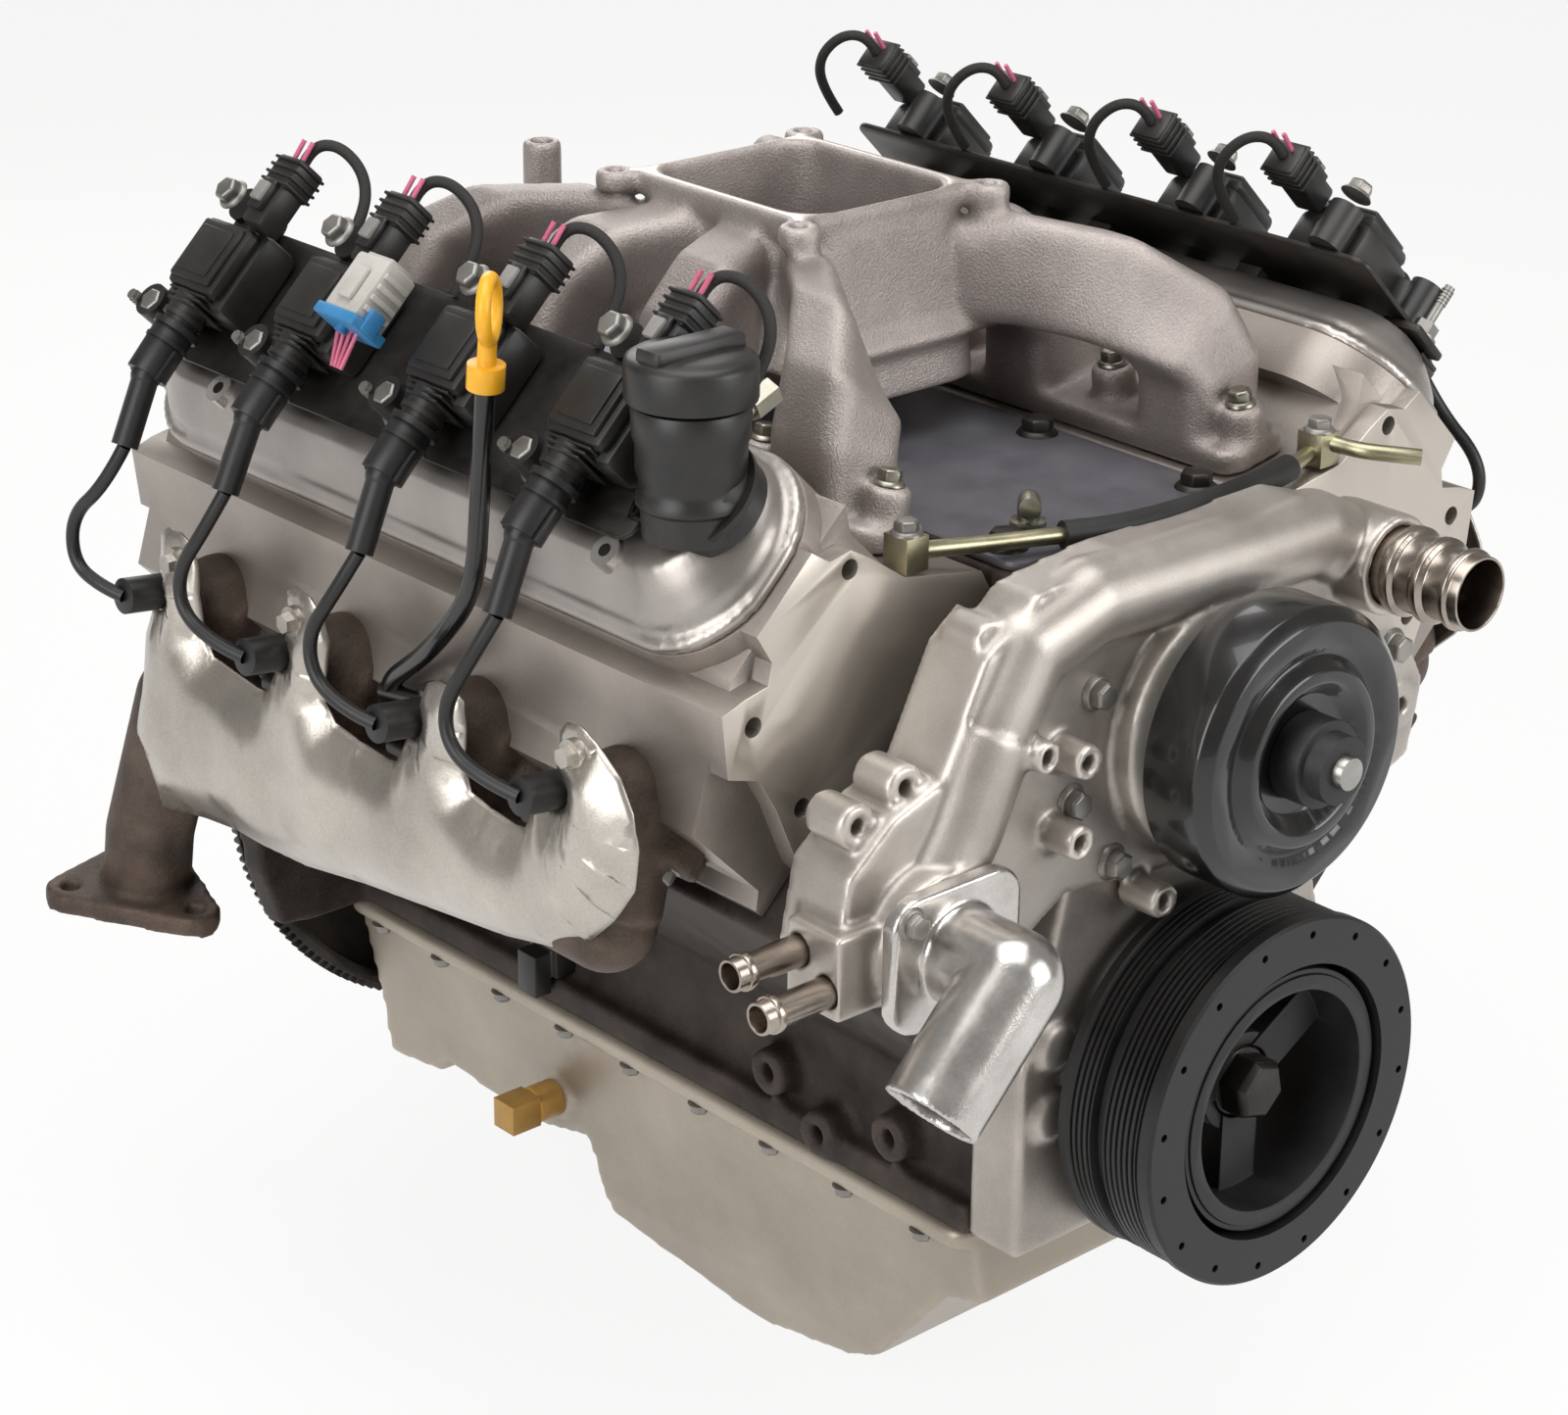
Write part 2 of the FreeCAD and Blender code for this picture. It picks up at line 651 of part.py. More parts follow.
def valve_cover(side):
    """Pressure-cast cover: flat lip, stepped shoulder and domed crown with round ends."""
    y0 = head_front_y + rail_end_inset
    y1 = head_rear_y - rail_end_inset
    z = rail_height
    lip = rounded_slab(rail_inner, rail_outer, y0, y1, z, z + cover_lip, rail_corner)

    def layer(inset, height):
        corner = min(rail_corner, (rail_outer - rail_inner) / 2 - inset - 2)
        return rounded_wire(rail_inner + inset, rail_outer - inset, y0 + inset, y1 - inset, height,
                            corner)

    s = cover_step_inset
    crown = Part.makeLoft([layer(s, z + cover_lip), layer(s + 2, z + cover_lip + cover_step),
                           layer(s + 12, z + cover_lip + 18),
                           layer(cover_crown_inset, z + cover_lip + cover_crown)], True, True)
    return seat(lip.fuse(crown).removeSplitter(), side)


valve_cover_bolt_y = (-86.0, -195.0, -305.0, -418.0)
cover_crown_across = (rail_inner + rail_outer) / 2
cover_top = rail_height + cover_lip + cover_crown


def valve_cover_bolts():
    """Four bolts down the centre line of each cover."""
    seats = [(side, y) for side in (-1, 1) for y in valve_cover_bolt_y]
    return group([seat(hexagon((cover_crown_across, y, cover_top), (0, 0, 1), 13, 7), side)
                  for side, y in seats])


plenum_corner = 26.0
intake_bolt_y = (-40.0, -146.5, -258.0, -370.0, -459.0)
intake_boss_height = 32.0
runner_crest_z = 352.0


def runner(side, i):
    """Rectangular runner from the plenum wall, over the crest and down to its port."""
    shift = bank_offset if side > 0 else 0.0
    port_y = cylinder_y(i) - shift
    start_y = carb_y + (1.5 - i) * 31.0
    face_z = intake_face_z + intake_flange
    stations = (
        ((34.0, start_y, 344.0), (1.0, -0.1), 46.0, 30.0),
        ((62.0, start_y + 0.3 * (port_y - start_y), runner_crest_z), (0.95, -0.1), 58.0, 43.0),
        ((84.0, start_y + 0.68 * (port_y - start_y), runner_crest_z - 4), (0.9, -0.42), 58.0, 46.0),
        ((103.0, start_y + 0.93 * (port_y - start_y), runner_crest_z - 18), (0.6, -0.8), 56.0, 48.0),
        ((115.0, port_y, runner_crest_z - 40), (0.25, -0.97), 52.0, 49.0),
        ((intake_face_x, port_y, face_z - 2), (0.0, -1.0), 50.0, 50.0),
    )
    wires = []
    for (x, y, z), (dx, dz), tall, wide in stations:
        wire = rounded_wire(-tall / 2, tall / 2, -wide / 2, wide / 2, 0, 11.0)
        wire.rotate(Vector(0, 0, 0), Vector(0, 1, 0), math.degrees(math.atan2(dx, dz)))
        wire.translate(Vector(x, y, z))
        wires.append(wire)
    body = Part.makeLoft(wires, True, True)
    return body if side > 0 else body.mirror(Vector(0, 0, 0), Vector(1, 0, 0))


def intake_manifold():
    """Single-plane manifold: four-bolt carburettor flange, open plenum and eight runners."""
    top = carb_top_z
    under = top - carb_flange_thickness
    half_x = carb_spacing_x / 2
    half_y = carb_spacing_y / 2
    flange = rounded_slab(-half_x + 4, half_x - 4, carb_y - half_y + 4, carb_y + half_y - 4, under,
                          top, 8)
    lobes = [cylinder((sx * half_x, carb_y + sy * half_y, under), (0, 0, 1), 11,
                      carb_flange_thickness) for sx in (-1, 1) for sy in (-1, 1)]
    wall_x, wall_y = plenum_half_x + plenum_wall, plenum_half_y + plenum_wall
    plenum = Part.makeLoft([
        rounded_wire(-wall_x, wall_x, carb_y - wall_y, carb_y + wall_y, under, plenum_corner),
        rounded_wire(-wall_x - 4, wall_x + 4, carb_y - wall_y - 12, carb_y + wall_y + 12,
                     plenum_floor_z - plenum_wall, plenum_corner)], True, True)
    feet = []
    for side in (-1, 1):
        slab = rounded_slab(-23, 23, head_front_y + 32, head_rear_y - 12, 0, intake_flange, 12)
        bosses = [cylinder((0, y, 0), (0, 0, 1), 12, intake_boss_height) for y in intake_bolt_y]
        feet.append(seat(intake_frame(fused([slab] + bosses), 0), side))
    runners = [runner(side, i) for side in (-1, 1) for i in bore_rows()]
    vacuum_boss = cylinder((0, -55, 318), (0, 0, 1), 11, 53)
    spine = Part.makeLoft([rounded_wire(-20, 20, -215, -36, 312, 14),
                           rounded_wire(-14, 14, -212, -44, 336, 12)], True, True)
    body = fused([flange, plenum] + lobes + feet + runners + [vacuum_boss, spine])
    inner = Part.makeLoft([
        rounded_wire(-plenum_half_x, plenum_half_x, carb_y - plenum_half_y, carb_y + plenum_half_y,
                     top + 1, plenum_corner - 6),
        rounded_wire(-plenum_half_x, plenum_half_x, carb_y - plenum_half_y, carb_y + plenum_half_y,
                     plenum_floor_z, plenum_corner - 6)], True, True)
    holes = [cylinder((sx * half_x, carb_y + sy * half_y, under - 5), (0, 0, 1), carb_hole_radius, 20)
             for sx in (-1, 1) for sy in (-1, 1)]
    holes.append(cylinder((0, -55, 350), (0, 0, 1), 6, 22))
    return body.cut(group([inner] + holes)).removeSplitter()


def intake_bolts():
    """Flange bolts standing on the raised bosses."""
    heads = [seat(intake_frame(hexagon((0, 0, intake_boss_height), (0, 0, 1), 11, 8), y), side)
             for side in (-1, 1) for y in intake_bolt_y]
    return group(heads)


valley_cover_thickness = 5.0
valley_bolt_x = 67.0
valley_bolt_rows = 5
valley_bolt_front_y = -495.0


def valley_cover():
    """Flat plate that closes the valley."""
    half = (deck_height - deck_inner) / ROOT2 - 2
    plate = rounded_slab(-half, half, block_front_y + 12, -14, valley_top_z,
                         valley_top_z + valley_cover_thickness, 10)
    return plate


def valley_cover_bolts():
    z = valley_top_z + valley_cover_thickness
    return group([hexagon((side * valley_bolt_x, valley_bolt_front_y + i * bore_spacing, z),
                          (0, 0, 1), 15, 9) for side in (-1, 1) for i in range(valley_bolt_rows)
                  if valley_bolt_front_y + i * bore_spacing < -20])


def valley_nipple():
    """Bent vent nipple pressed into the valley cover."""
    z = valley_top_z + valley_cover_thickness
    collar = cylinder((-41, -484, z), (0, 0, 1), 9, 5)
    pipe = tube([(-41, -484, z + 5), (-41, -484, z + 16), (-52, -496, z + 16)], 5.5)
    return fused([collar, pipe])


vent_block_x = 134.7
vent_block_y = -494.0
vent_pipe_radius = 4.2
vent_hose_radius = 7.0
vent_pipe_z = 279.0
vent_block_top = 289.0
vent_hose_knee = (112.7, -521.6, 277.5)
vent_hose_points = ((-50.0, -516.0, 275.0), (-22.0, -525.8, 274.3), (14.0, -529.5, 274.2),
                    (48.0, -529.6, 274.8), (76.0, -528.1, 275.7), (102.7, -524.1, 277.0))


def coolant_vent_pipes():
    """Clamp blocks on both heads with their bent steel pipe ends."""
    shapes = []
    for side in (-1, 1):
        shift = bank_offset if side > 0 else 0.0
        inner, outer = sorted((side * (vent_block_x - 10), side * (vent_block_x + 4)))
        shapes.append(box(inner, outer, vent_block_y - shift - 8, vent_block_y - shift + 8,
                          intake_line(vent_block_x + 4) + 0.3, vent_block_top))
    right_end = (-vent_block_x + 10, vent_block_y, vent_pipe_z)
    shapes[0] = shapes[0].fuse(tube([right_end, (-90, vent_block_y - 8, 276),
                                     vent_hose_points[0]], vent_pipe_radius))
    left_y = vent_block_y - bank_offset
    shapes[1] = shapes[1].fuse(tube([(vent_block_x - 10, left_y, 278), vent_hose_knee,
                                     vent_hose_points[-1]], vent_pipe_radius))
    shapes[1] = shapes[1].fuse(tube([(vent_block_x, left_y - 7, 283),
                                     (vent_block_x + 2, left_y - 24, 283),
                                     (vent_block_x + 22, left_y - 46, 281)], vent_pipe_radius))
    return group([shape.removeSplitter() for shape in shapes])


def vent_bolts():
    return group([hexagon((side * (vent_block_x - 3), vent_block_y - (bank_offset if side > 0 else 0),
                           vent_block_top), (0, 0, 1), 11, 7) for side in (-1, 1)])


def coolant_vent_hose():
    """Rubber hose joining the two vent pipes."""
    return tube(vent_hose_points, vent_hose_radius)


pump_back_y = block_front_y
pump_leg_front_y = -568.0
cover_gap = 1.2
pump_body_radius = 66.0
outlet_axis = (112.0, 241.0)
outlet_radius = 20.0
outlet_tip_radius = 19.0
outlet_end = -641.0
hose_tip = 6.0
neck_step = 0.2
hose_pipe_wall = 1.6
thermostat_centre = (-188.0, 128.0)
thermostat_face_y = -584.0
pump_bosses = (
    (-137.0, 254.0, -560.0, 12.0), (-191.0, 199.0, -560.0, 11.0), (-220.0, 188.0, -560.0, 11.0),
    (-128.0, 205.0, -588.0, 8.0), (-101.0, 195.0, -588.0, 9.0), (-104.0, 155.0, -588.0, 9.0),
    (-44.0, 106.0, -588.0, 9.0), (150.0, 150.0, -570.0, 12.0),
)
pump_boss_hole = 4.2
pump_leg = ((-44.0, 112.0), (-92.0, 118.0), (-130.0, 96.0), (-172.0, 92.0), (-226.0, 100.0),
            (-240.0, 128.0), (-232.0, 168.0), (-205.0, 190.0), (-176.0, 200.0), (-150.0, 252.0),
            (-118.0, 276.0), (-60.0, 283.0), (0.0, 280.0), (60.0, 283.0), (105.0, 268.0),
            (134.0, 250.0), (136.0, 214.0), (150.0, 190.0), (168.0, 160.0), (160.0, 120.0),
            (120.0, 104.0), (60.0, 100.0))


def water_pump_housing():
    """Cast housing: two block legs, the upper cross passage, volute, nose and bracket bosses."""
    leg = prism_y(pump_leg, pump_back_y, pump_leg_front_y)
    passage = knee_pipe([(-142, -560, 214), (-120, -560.5, 250), (-80, -561, 262), (76, -562, 260),
                         (outlet_axis[0], -563, outlet_axis[1])], 21.3)
    drop = knee_pipe([(-142.2, -560.1, 214.1), (-162, -560.3, 172), (-189, -560.2, 131)], 23.7)
    volute = revolve_y([(0, -563), (pump_body_radius, -563), (pump_body_radius, -580),
                        (pump_body_radius - 14, -590), (34, -592), (27, -606), (0, -606)], 0, pump_z)
    outlet = cylinder((outlet_axis[0], -590, outlet_axis[1]), (0, 1, 0), 26, 40)
    barrel = cylinder((thermostat_centre[0], thermostat_face_y, thermostat_centre[1]), (0, 1, 0), 36,
                      pump_back_y - thermostat_face_y - 2)
    stem = box(-246, -190, -576, -540, 104, 146)
    parts = [leg, passage, drop, volute, outlet, barrel, stem]
    for x, z, front, radius in pump_bosses:
        parts.append(cylinder((x, front, z), (0, 1, 0), radius, pump_back_y - front - 6))
    body = fused(parts)
    cuts = [cylinder((x, front - 1, z), (0, 1, 0), pump_boss_hole, 18)
            for x, z, front, radius in pump_bosses]
    cuts.append(prism_y(mirrored([(x + 3 if x else 0, z + (3 if z > 0 else -3))
                                  for x, z in cover_outline]),
                        block_front_y + 1, cover_front_y - cover_gap))
    cuts.append(box(-132, 134, -539.5, block_front_y + 1, 228, 300))
    cuts.append(cylinder((0, -620, pump_z), (0, 1, 0), pump_shaft_radius + running_clearance, 100))
    cuts.append(cylinder((0, -583, pump_z), (0, 1, 0), 46, 30))
    cuts.append(cylinder((outlet_axis[0], -592, outlet_axis[1]), (0, 1, 0), outlet_radius, 30))
    cuts.append(cylinder((thermostat_centre[0], thermostat_face_y - 1, thermostat_centre[1]),
                         (0, 1, 0), 22, 34))
    for y, z in heater_places:
        cuts.append(cylinder((-247, y, z), (1, 0, 0), heater_radius, 16))
    return body.cut(group(cuts)).removeSplitter()


heater_places = ((-548.0, 131.0), (-567.0, 117.0))
heater_radius = 7.8
heater_reach = 40.0


def heater_pipes():
    """Two beaded steel hose nipples pressed into the housing's right end."""
    pipes = []
    for y, z in heater_places:
        end = -231 - heater_reach - 15
        pipe = cylinder((end + hose_tip, y, z), (1, 0, 0), heater_radius - neck_step, heater_reach + 9)
        tip = cylinder((end, y, z), (1, 0, 0), heater_radius, hose_tip)
        bead = cylinder((end + hose_tip, y, z), (1, 0, 0), heater_radius + 1.3, 4)
        inside = cylinder((end - 1, y, z), (1, 0, 0), heater_radius - hose_pipe_wall, 50)
        pipes.append(fused([pipe, tip, bead]).cut(inside))
    return group([pipe.removeSplitter() for pipe in pipes])


def water_outlet_pipe():
    """Beaded steel outlet pressed into the upper passage."""
    x, z = outlet_axis
    r = outlet_radius
    bore = outlet_tip_radius - hose_pipe_wall
    neck = outlet_tip_radius - neck_step
    tip = outlet_end + hose_tip
    profile = [(r - 2, -563), (r, -563), (r, -594), (r + 3, -596), (r + 3, -601), (r, -603),
               (r, -612), (r + 2, -614), (r + 2, -618), (neck, -620), (neck, tip + 5),
               (neck + 2, tip + 4), (neck + 2, tip + 1), (outlet_tip_radius, tip),
               (outlet_tip_radius, outlet_end), (bore, outlet_end), (bore, -620)]
    return revolve_y(profile, x, z)


elbow_mouth = (-240.0, -630.0, 78.0)
elbow_radius = 23.5
elbow_wall = 3.0


def thermostat_elbow():
    """Flanged outlet that turns from the housing's face down and outwards."""
    x, z = thermostat_centre
    y = thermostat_face_y
    flange = rounded_slab(x - 40, x + 40, -z - 34, -z + 34, 0, 9, 16)
    flange.rotate(Vector(0, 0, 0), Vector(1, 0, 0), -90)
    flange.translate(Vector(0, y - 9, 0))
    mouth = Vector(*elbow_mouth)
    knee = Vector(x, y - 44, z)
    pipe = knee_pipe([(x, y - 5, z), tuple(knee), tuple(mouth)], elbow_radius)
    inside = knee_pipe([(x, y + 1, z), tuple(knee), tuple(mouth + (mouth - knee) * 0.05)],
                       elbow_radius - elbow_wall)
    return flange.fuse(pipe).cut(inside).removeSplitter()


pump_bolt_places = ((-78.0, 218.0), (-92.0, 166.0), (-62.0, 126.0), (70.0, 126.0), (84.0, 212.0),
                    (140.0, 185.0))


def water_pump_bolts():
    heads = [hexagon((x, pump_leg_front_y, z), (0, -1, 0), 13, 9)
             for x, z in pump_bolt_places]
    for dx, dz in ((-30, 24), (30, -24)):
        heads.append(hexagon((thermostat_centre[0] + dx, thermostat_face_y - 9,
                              thermostat_centre[1] + dz), (0, -1, 0), 11, 7))
    return group(heads)


def water_pump_shaft():
    """Shaft, impeller and belt-side flange on one spindle."""
    shaft = cylinder((0, pump_tip_y, pump_z), (0, 1, 0), pump_shaft_radius, -567 - pump_tip_y)
    impeller = cylinder((0, -581, pump_z), (0, 1, 0), 20, 14)
    vanes = [impeller, shaft]
    for i in range(6):
        vane = box(-2.5, 2.5, -580, -568, 15, 42)
        vane.rotate(Vector(0, 0, 0), Vector(0, 1, 0), 60 * i)
        vane.translate(Vector(0, 0, pump_z))
        vanes.append(vane)
    vanes.append(cylinder((0, pulley_front_y + 8, pump_z), (0, 1, 0), 30, 6))
    return fused(vanes)


def water_pump_pulley():
    """Stamped dish pulley bolted to the spindle flange."""
    r = pulley_radius
    f = pulley_front_y
    web = f + 8
    profile = [(pump_shaft_radius + 6, web), (pump_shaft_radius + 6, web - 3), (30, web - 3),
               (38, web - 12), (44, web - 12), (50, web - 5), (56, f), (r - 6, f), (r, f + 6),
               (r, f + pulley_depth), (r - 3, f + pulley_depth), (r - 3, f + 9), (r - 8, f + 3),
               (58, f + 3), (52, web - 2), (46, web - 9), (40, web - 9), (31, web)]
    return revolve_y(profile, 0, pump_z)


def fan_hub():
    """Threaded nose that carries the cooling fan's clutch."""
    nose = revolve_y([(pump_shaft_radius, pulley_front_y + 5), (22, pulley_front_y + 5),
                      (22, pulley_front_y - 12), (17, pulley_front_y - 12),
                      (17, pulley_front_y - 22), (pump_shaft_radius, pulley_front_y - 22)], 0, pump_z)
    return nose


level_sensor_place = (-98.0, -176.0, -152.0)


def oil_pan():
    """Cast pan: deep rear section, sump and shallow front, hollow with an open top."""
    top = pan_rail_z
    outer = prism_x([(y, z) for y, z in pan_underside] + [(block_front_y, top), (0, top)], -130, 130)
    section = prism_y(mirrored([(0, top), (106, top), (102, -110), (92, -160), (86, -205),
                                (74, -240), (0, -240)]), 0, block_front_y)
    rail = rounded_slab(-pan_rail_half_width - 2, pan_rail_half_width + 2, block_front_y, 0,
                        top - 12, top, 12)
    raised = [(y, z + pan_wall) for y, z in pan_underside[1:-1]]
    hollow = prism_x([(-12, pan_underside[0][1] + 30)] + raised
                     + [(block_front_y + 10, -112), (block_front_y + 10, top + 1), (-12, top + 1)],
                     -130, 130)
    narrow = prism_y(mirrored([(0, top + 1), (98, top + 1), (95, -110), (85, -160), (79, -203),
                               (68, -234), (0, -234)]), -12, block_front_y + 10)
    x, y, z = level_sensor_place
    boss = cylinder((x, y, z), (1, 0, 0), 14, 12)
    body = outer.common(section).fuse(rail).cut(hollow.common(narrow))
    return body.fuse(boss).removeSplitter()


def oil_pan_bolts():
    rows = [-30.0 - 58.0 * i for i in range(9)]
    return group([hexagon((side * (pan_rail_half_width - 4), y, pan_rail_z - 12), (0, 0, -1), 9, 6)
                  for side in (-1, 1) for y in rows])


def oil_level_sensor():
    """Hexagon-bodied sensor with a square connector, on the right of the pan."""
    x, y, z = level_sensor_place
    body = cylinder((x - 16, y, z), (1, 0, 0), 11, 16)
    plug = box(x - 36, x - 16, y - 9, y + 9, z - 9, z + 9)
    return body.fuse(plug).removeSplitter()


def crank_position_sensor():
    """Moulded sensor low on the right of the block."""
    x, y, z = -skirt_half_width, -192, -46
    return box(x - 14, x, y - 12, y + 12, z - 14, z + 12).fuse(
        box(x - 26, x - 14, y - 8, y + 8, z - 24, z + 2)).removeSplitter()


manifold_log_x = 268.0
manifold_log_z = 112.0
log_radius = 24.0
exhaust_flange = 12.0
outlet_centre = (280.0, -50.0, -2.0)
outlet_axis_dir = (0.0, 0.1, -0.995)
outlet_bolt_angles = (95.0, 235.0, 335.0)
outlet_bolt_circle = 42.0
outlet_flange = 12.0


def manifold_path(side):
    """Centre line of the log and its outlet, from the front."""
    shift = bank_offset if side > 0 else 0.0
    front = cylinder_y(3) - shift - 14
    rear = cylinder_y(0) - shift + 14
    x, y, z = outlet_centre
    return [(side * manifold_log_x, front, manifold_log_z), (side * manifold_log_x, rear, manifold_log_z),
            (side * x, y - 6 - shift, 30), (side * x, y - shift, z)]


def exhaust_manifold(side):
    """Cast log manifold: four port flanges, four short runners, the log and its outlet."""
    shapes = []
    shift = bank_offset if side > 0 else 0.0
    for i in bore_rows():
        y = cylinder_y(i)
        flange = rounded_slab(port_height - 27, port_height + 24, y - 42, y + 42, 0, exhaust_flange, 20)
        flange.rotate(Vector(0, 0, 0), Vector(0, 1, 0), -90)
        flange.translate(Vector(exhaust_face + exhaust_flange, 0, 0))
        shapes.append(seat(flange, side))
        face = bank_point(side, exhaust_face + 4.5, y, port_height)
        knee = bank_point(side, exhaust_face + 34, y, port_height + 4)
        end = (side * manifold_log_x, y - shift - 8, manifold_log_z)
        shapes.append(knee_pipe([face, knee, end], port_radius + 4 - 0.3 * i))
    path = manifold_path(side)
    rim_centre, rim_dir = path[-1], outlet_axis_dir
    shapes.append(knee_pipe(path, log_radius))
    shapes.append(Part.makeSphere(log_radius, Vector(*path[0])))
    body = fused(shapes)
    centre = Vector(*rim_centre)
    axis = Vector(*rim_dir)
    along = Vector(1, 0, 0)
    beside = axis.cross(along)
    corners = []
    ear_holes = []
    for angle in outlet_bolt_angles:
        a = math.radians(angle)
        ear = centre + (along * (side * math.cos(a)) + beside * math.sin(a)) * outlet_bolt_circle
        ear_holes.append(cylinder(tuple(ear - axis * 5), rim_dir, 5.2, 24))
        for swing in (-60, -20, 20, 60):
            b = math.radians(angle + swing)
            reach = along * (side * math.cos(b)) + beside * math.sin(b)
            corners.append(ear + reach * 14)
    outline = Part.Face(Part.makePolygon(corners + corners[:1]))
    body = fused([body, outline.extrude(axis * outlet_flange)])
    hole = cylinder(tuple(centre - axis * 30), rim_dir, log_radius - 4, 60)
    return body.cut(group([hole] + ear_holes)).removeSplitter()


shield_outline = (
    (-99, 216), (-106, 221), (-117, 221), (-127, 216), (-131, 206), (-132, 191), (-135, 169),
    (-143, 160), (-164, 157), (-182, 155), (-191, 156), (-198, 166), (-207, 185), (-212, 200),
    (-210, 210), (-213, 217), (-220, 221), (-233, 219), (-243, 212), (-248, 200), (-244, 180),
    (-243, 166), (-251, 158), (-271, 155), (-295, 153), (-302, 154), (-307, 162), (-317, 180),
    (-325, 196), (-330, 204), (-338, 208), (-349, 208), (-357, 203), (-359, 188), (-357, 169),
    (-362, 158), (-377, 155), (-396, 153), (-404, 154), (-412, 170), (-425, 189), (-431, 202),
    (-431, 212), (-436, 218), (-446, 219), (-460, 213), (-474, 203), (-483, 188), (-487, 171),
    (-484, 150), (-470, 131), (-450, 112), (-425, 100), (-387, 92), (-335, 86), (-266, 77),
    (-219, 69), (-182, 67), (-155, 67), (-128, 64), (-88, 56), (-55, 49), (-46, 54), (-56, 74),
    (-65, 101), (-73, 127), (-78, 154), (-87, 173), (-96, 190), (-98, 204))


def heat_shield(side):
    """Formed sheet over the manifold, with a tall lobe by each bolt."""
    t = 1.6
    x = manifold_log_x + log_radius
    shift = bank_offset if side > 0 else 0.0
    bend = [(x - 8, 230), (x + 1, 216), (x + 4, 190), (x + 5, 120), (x + 4, 80), (x - 2, 50)]
    inner = [(px - t, pz) for px, pz in bend]
    sheet = prism_y(bend + list(reversed(inner)), -40 - shift, -500 - shift)
    outline = shield_outline
    mask = prism_x([(y - shift, z) for y, z in outline], 200, 320)
    blank = sheet.common(mask).cut(knee_pipe(
        [(abs(px), py, pz) for px, py, pz in manifold_path(side)], log_radius + 0.4))
    if side < 0:
        blank = blank.mirror(Vector(0, 0, 0), Vector(1, 0, 0))
    boots = [seat(spark_plug_frame(cylinder((0, 0, 10), (0, 0, 1), 11, 60), cylinder_y(i)), side)
             for i in bore_rows()]
    return blank.cut(group(boots))


def exhaust_bolts():
    heads = []
    for side in (-1, 1):
        for i in bore_rows():
            for dy in (-34, 34):
                place = (exhaust_face + exhaust_flange, cylinder_y(i) + dy, port_height)
                heads.append(seat(hexagon(place, (1, 0, 0), 13, 9), side))
    return group(heads)


def spark_plugs():
    """Steel shell and insulator of each plug, in its pocket."""
    shapes = []
    for side in (-1, 1):
        for i in bore_rows():
            plug = cylinder((0, 0, 0), (0, 0, 1), 8, 14).fuse(cylinder((0, 0, 14), (0, 0, 1), 5, 22))
            shapes.append(seat(spark_plug_frame(plug.removeSplitter(), cylinder_y(i)), side))
    return group(shapes)


def plug_boots():
    """Boot over each plug with its metal sleeve end, and the angled boot on each coil."""
    shapes = []
    for side in (-1, 1):
        for i in bore_rows():
            body = cylinder((0, 0, 18), (0, 0, 1), 9.5, 42).cut(cylinder((0, 0, 17), (0, 0, 1), 5, 19))
            shapes.append(seat(spark_plug_frame(body, cylinder_y(i)), side))
    for i in bore_rows():
        boot = upper_boot(i)
        shapes += [boot, turned_end_for_end(boot)]
    return group(shapes).cut(group([ignition_coils(-1), ignition_coils(1)]))


bracket_plane = cover_top + 8.0
bracket_thickness = 3.0
coil_seat = bracket_plane + bracket_thickness
coil_places_right = (-93.0, -187.0, -298.0, -405.0)
coil_mirror_y = -516.0
bracket_feet_y = (-140.0, -250.0, -362.0)
coil_bolt_places = ((-112.0, 9.0, 33.0), (-46.0, 29.0, 18.0))
coil_tower_height = coil_seat + 21.0
boot_top_across = -38.0
neck_place = (-235.0, -462.0)
neck_radius = 24.0
neck_top_z = 368.0
cap_radius = 30.5
cap_height = 20.0


def coil_rows(side):
    if side < 0:
        return coil_places_right
    return tuple(coil_mirror_y - y for y in coil_places_right)


def turned_box(side, y, x0, x1, y0, y1, z0, z1):
    """A box beside a coil: the left bank's coils are the right bank's turned end for end."""
    low, high = sorted((y - side * y0, y - side * y1))
    return box(x0, x1, low, high, z0, z1)


def filler_space():
    """The room that the oil filler and its turning cap need."""
    x, y = neck_place
    return cylinder((x, y, neck_top_z - 60), (0, 0, 1), cap_radius + 0.8, 120)


def coil_bracket(side):
    """Pressed plate on the cover that holds four coils."""
    rows = coil_rows(side)
    y0, y1 = min(rows) - 38, max(rows) + 38
    plate = rounded_slab(-112, -30, y0, y1, bracket_plane, coil_seat, 10)
    feet = [box(-74, -36, y - 8, y + 8, cover_top, bracket_plane) for y in bracket_feet_y]
    return seat(fused([plate] + feet), side).cut(filler_space())


def ignition_coils(side):
    """Four moulded coils, each with its core, cap, connector, tower and two bolt bosses."""
    shapes = []
    for y in coil_rows(side):
        core = turned_box(side, y, -101, -51, -28, 20, coil_seat, coil_seat + 34)
        cap = turned_box(side, y, -98, -70, -25, 17, coil_seat + 34, coil_seat + 40)
        plug = turned_box(side, y, -140, -101, -34, -14, coil_seat + 22, coil_seat + 40)
        tower = cylinder((-51, y - side, coil_tower_height), (1, 0, 0), 6.5, boot_top_across + 51)
        shapes += [core, cap, plug, tower]
        for across, along, top in coil_bolt_places:
            centre_y = y - side * along
            shapes.append(cylinder((across, centre_y, coil_seat), (0, 0, 1), 9, top))
            shapes.append(box(min(across, -101), max(across, -51), centre_y - 5, centre_y + 5,
                              coil_seat, coil_seat + top - 4))
    return seat(shapes[0].multiFuse(shapes[1:]).removeSplitter(), side).cut(filler_space())


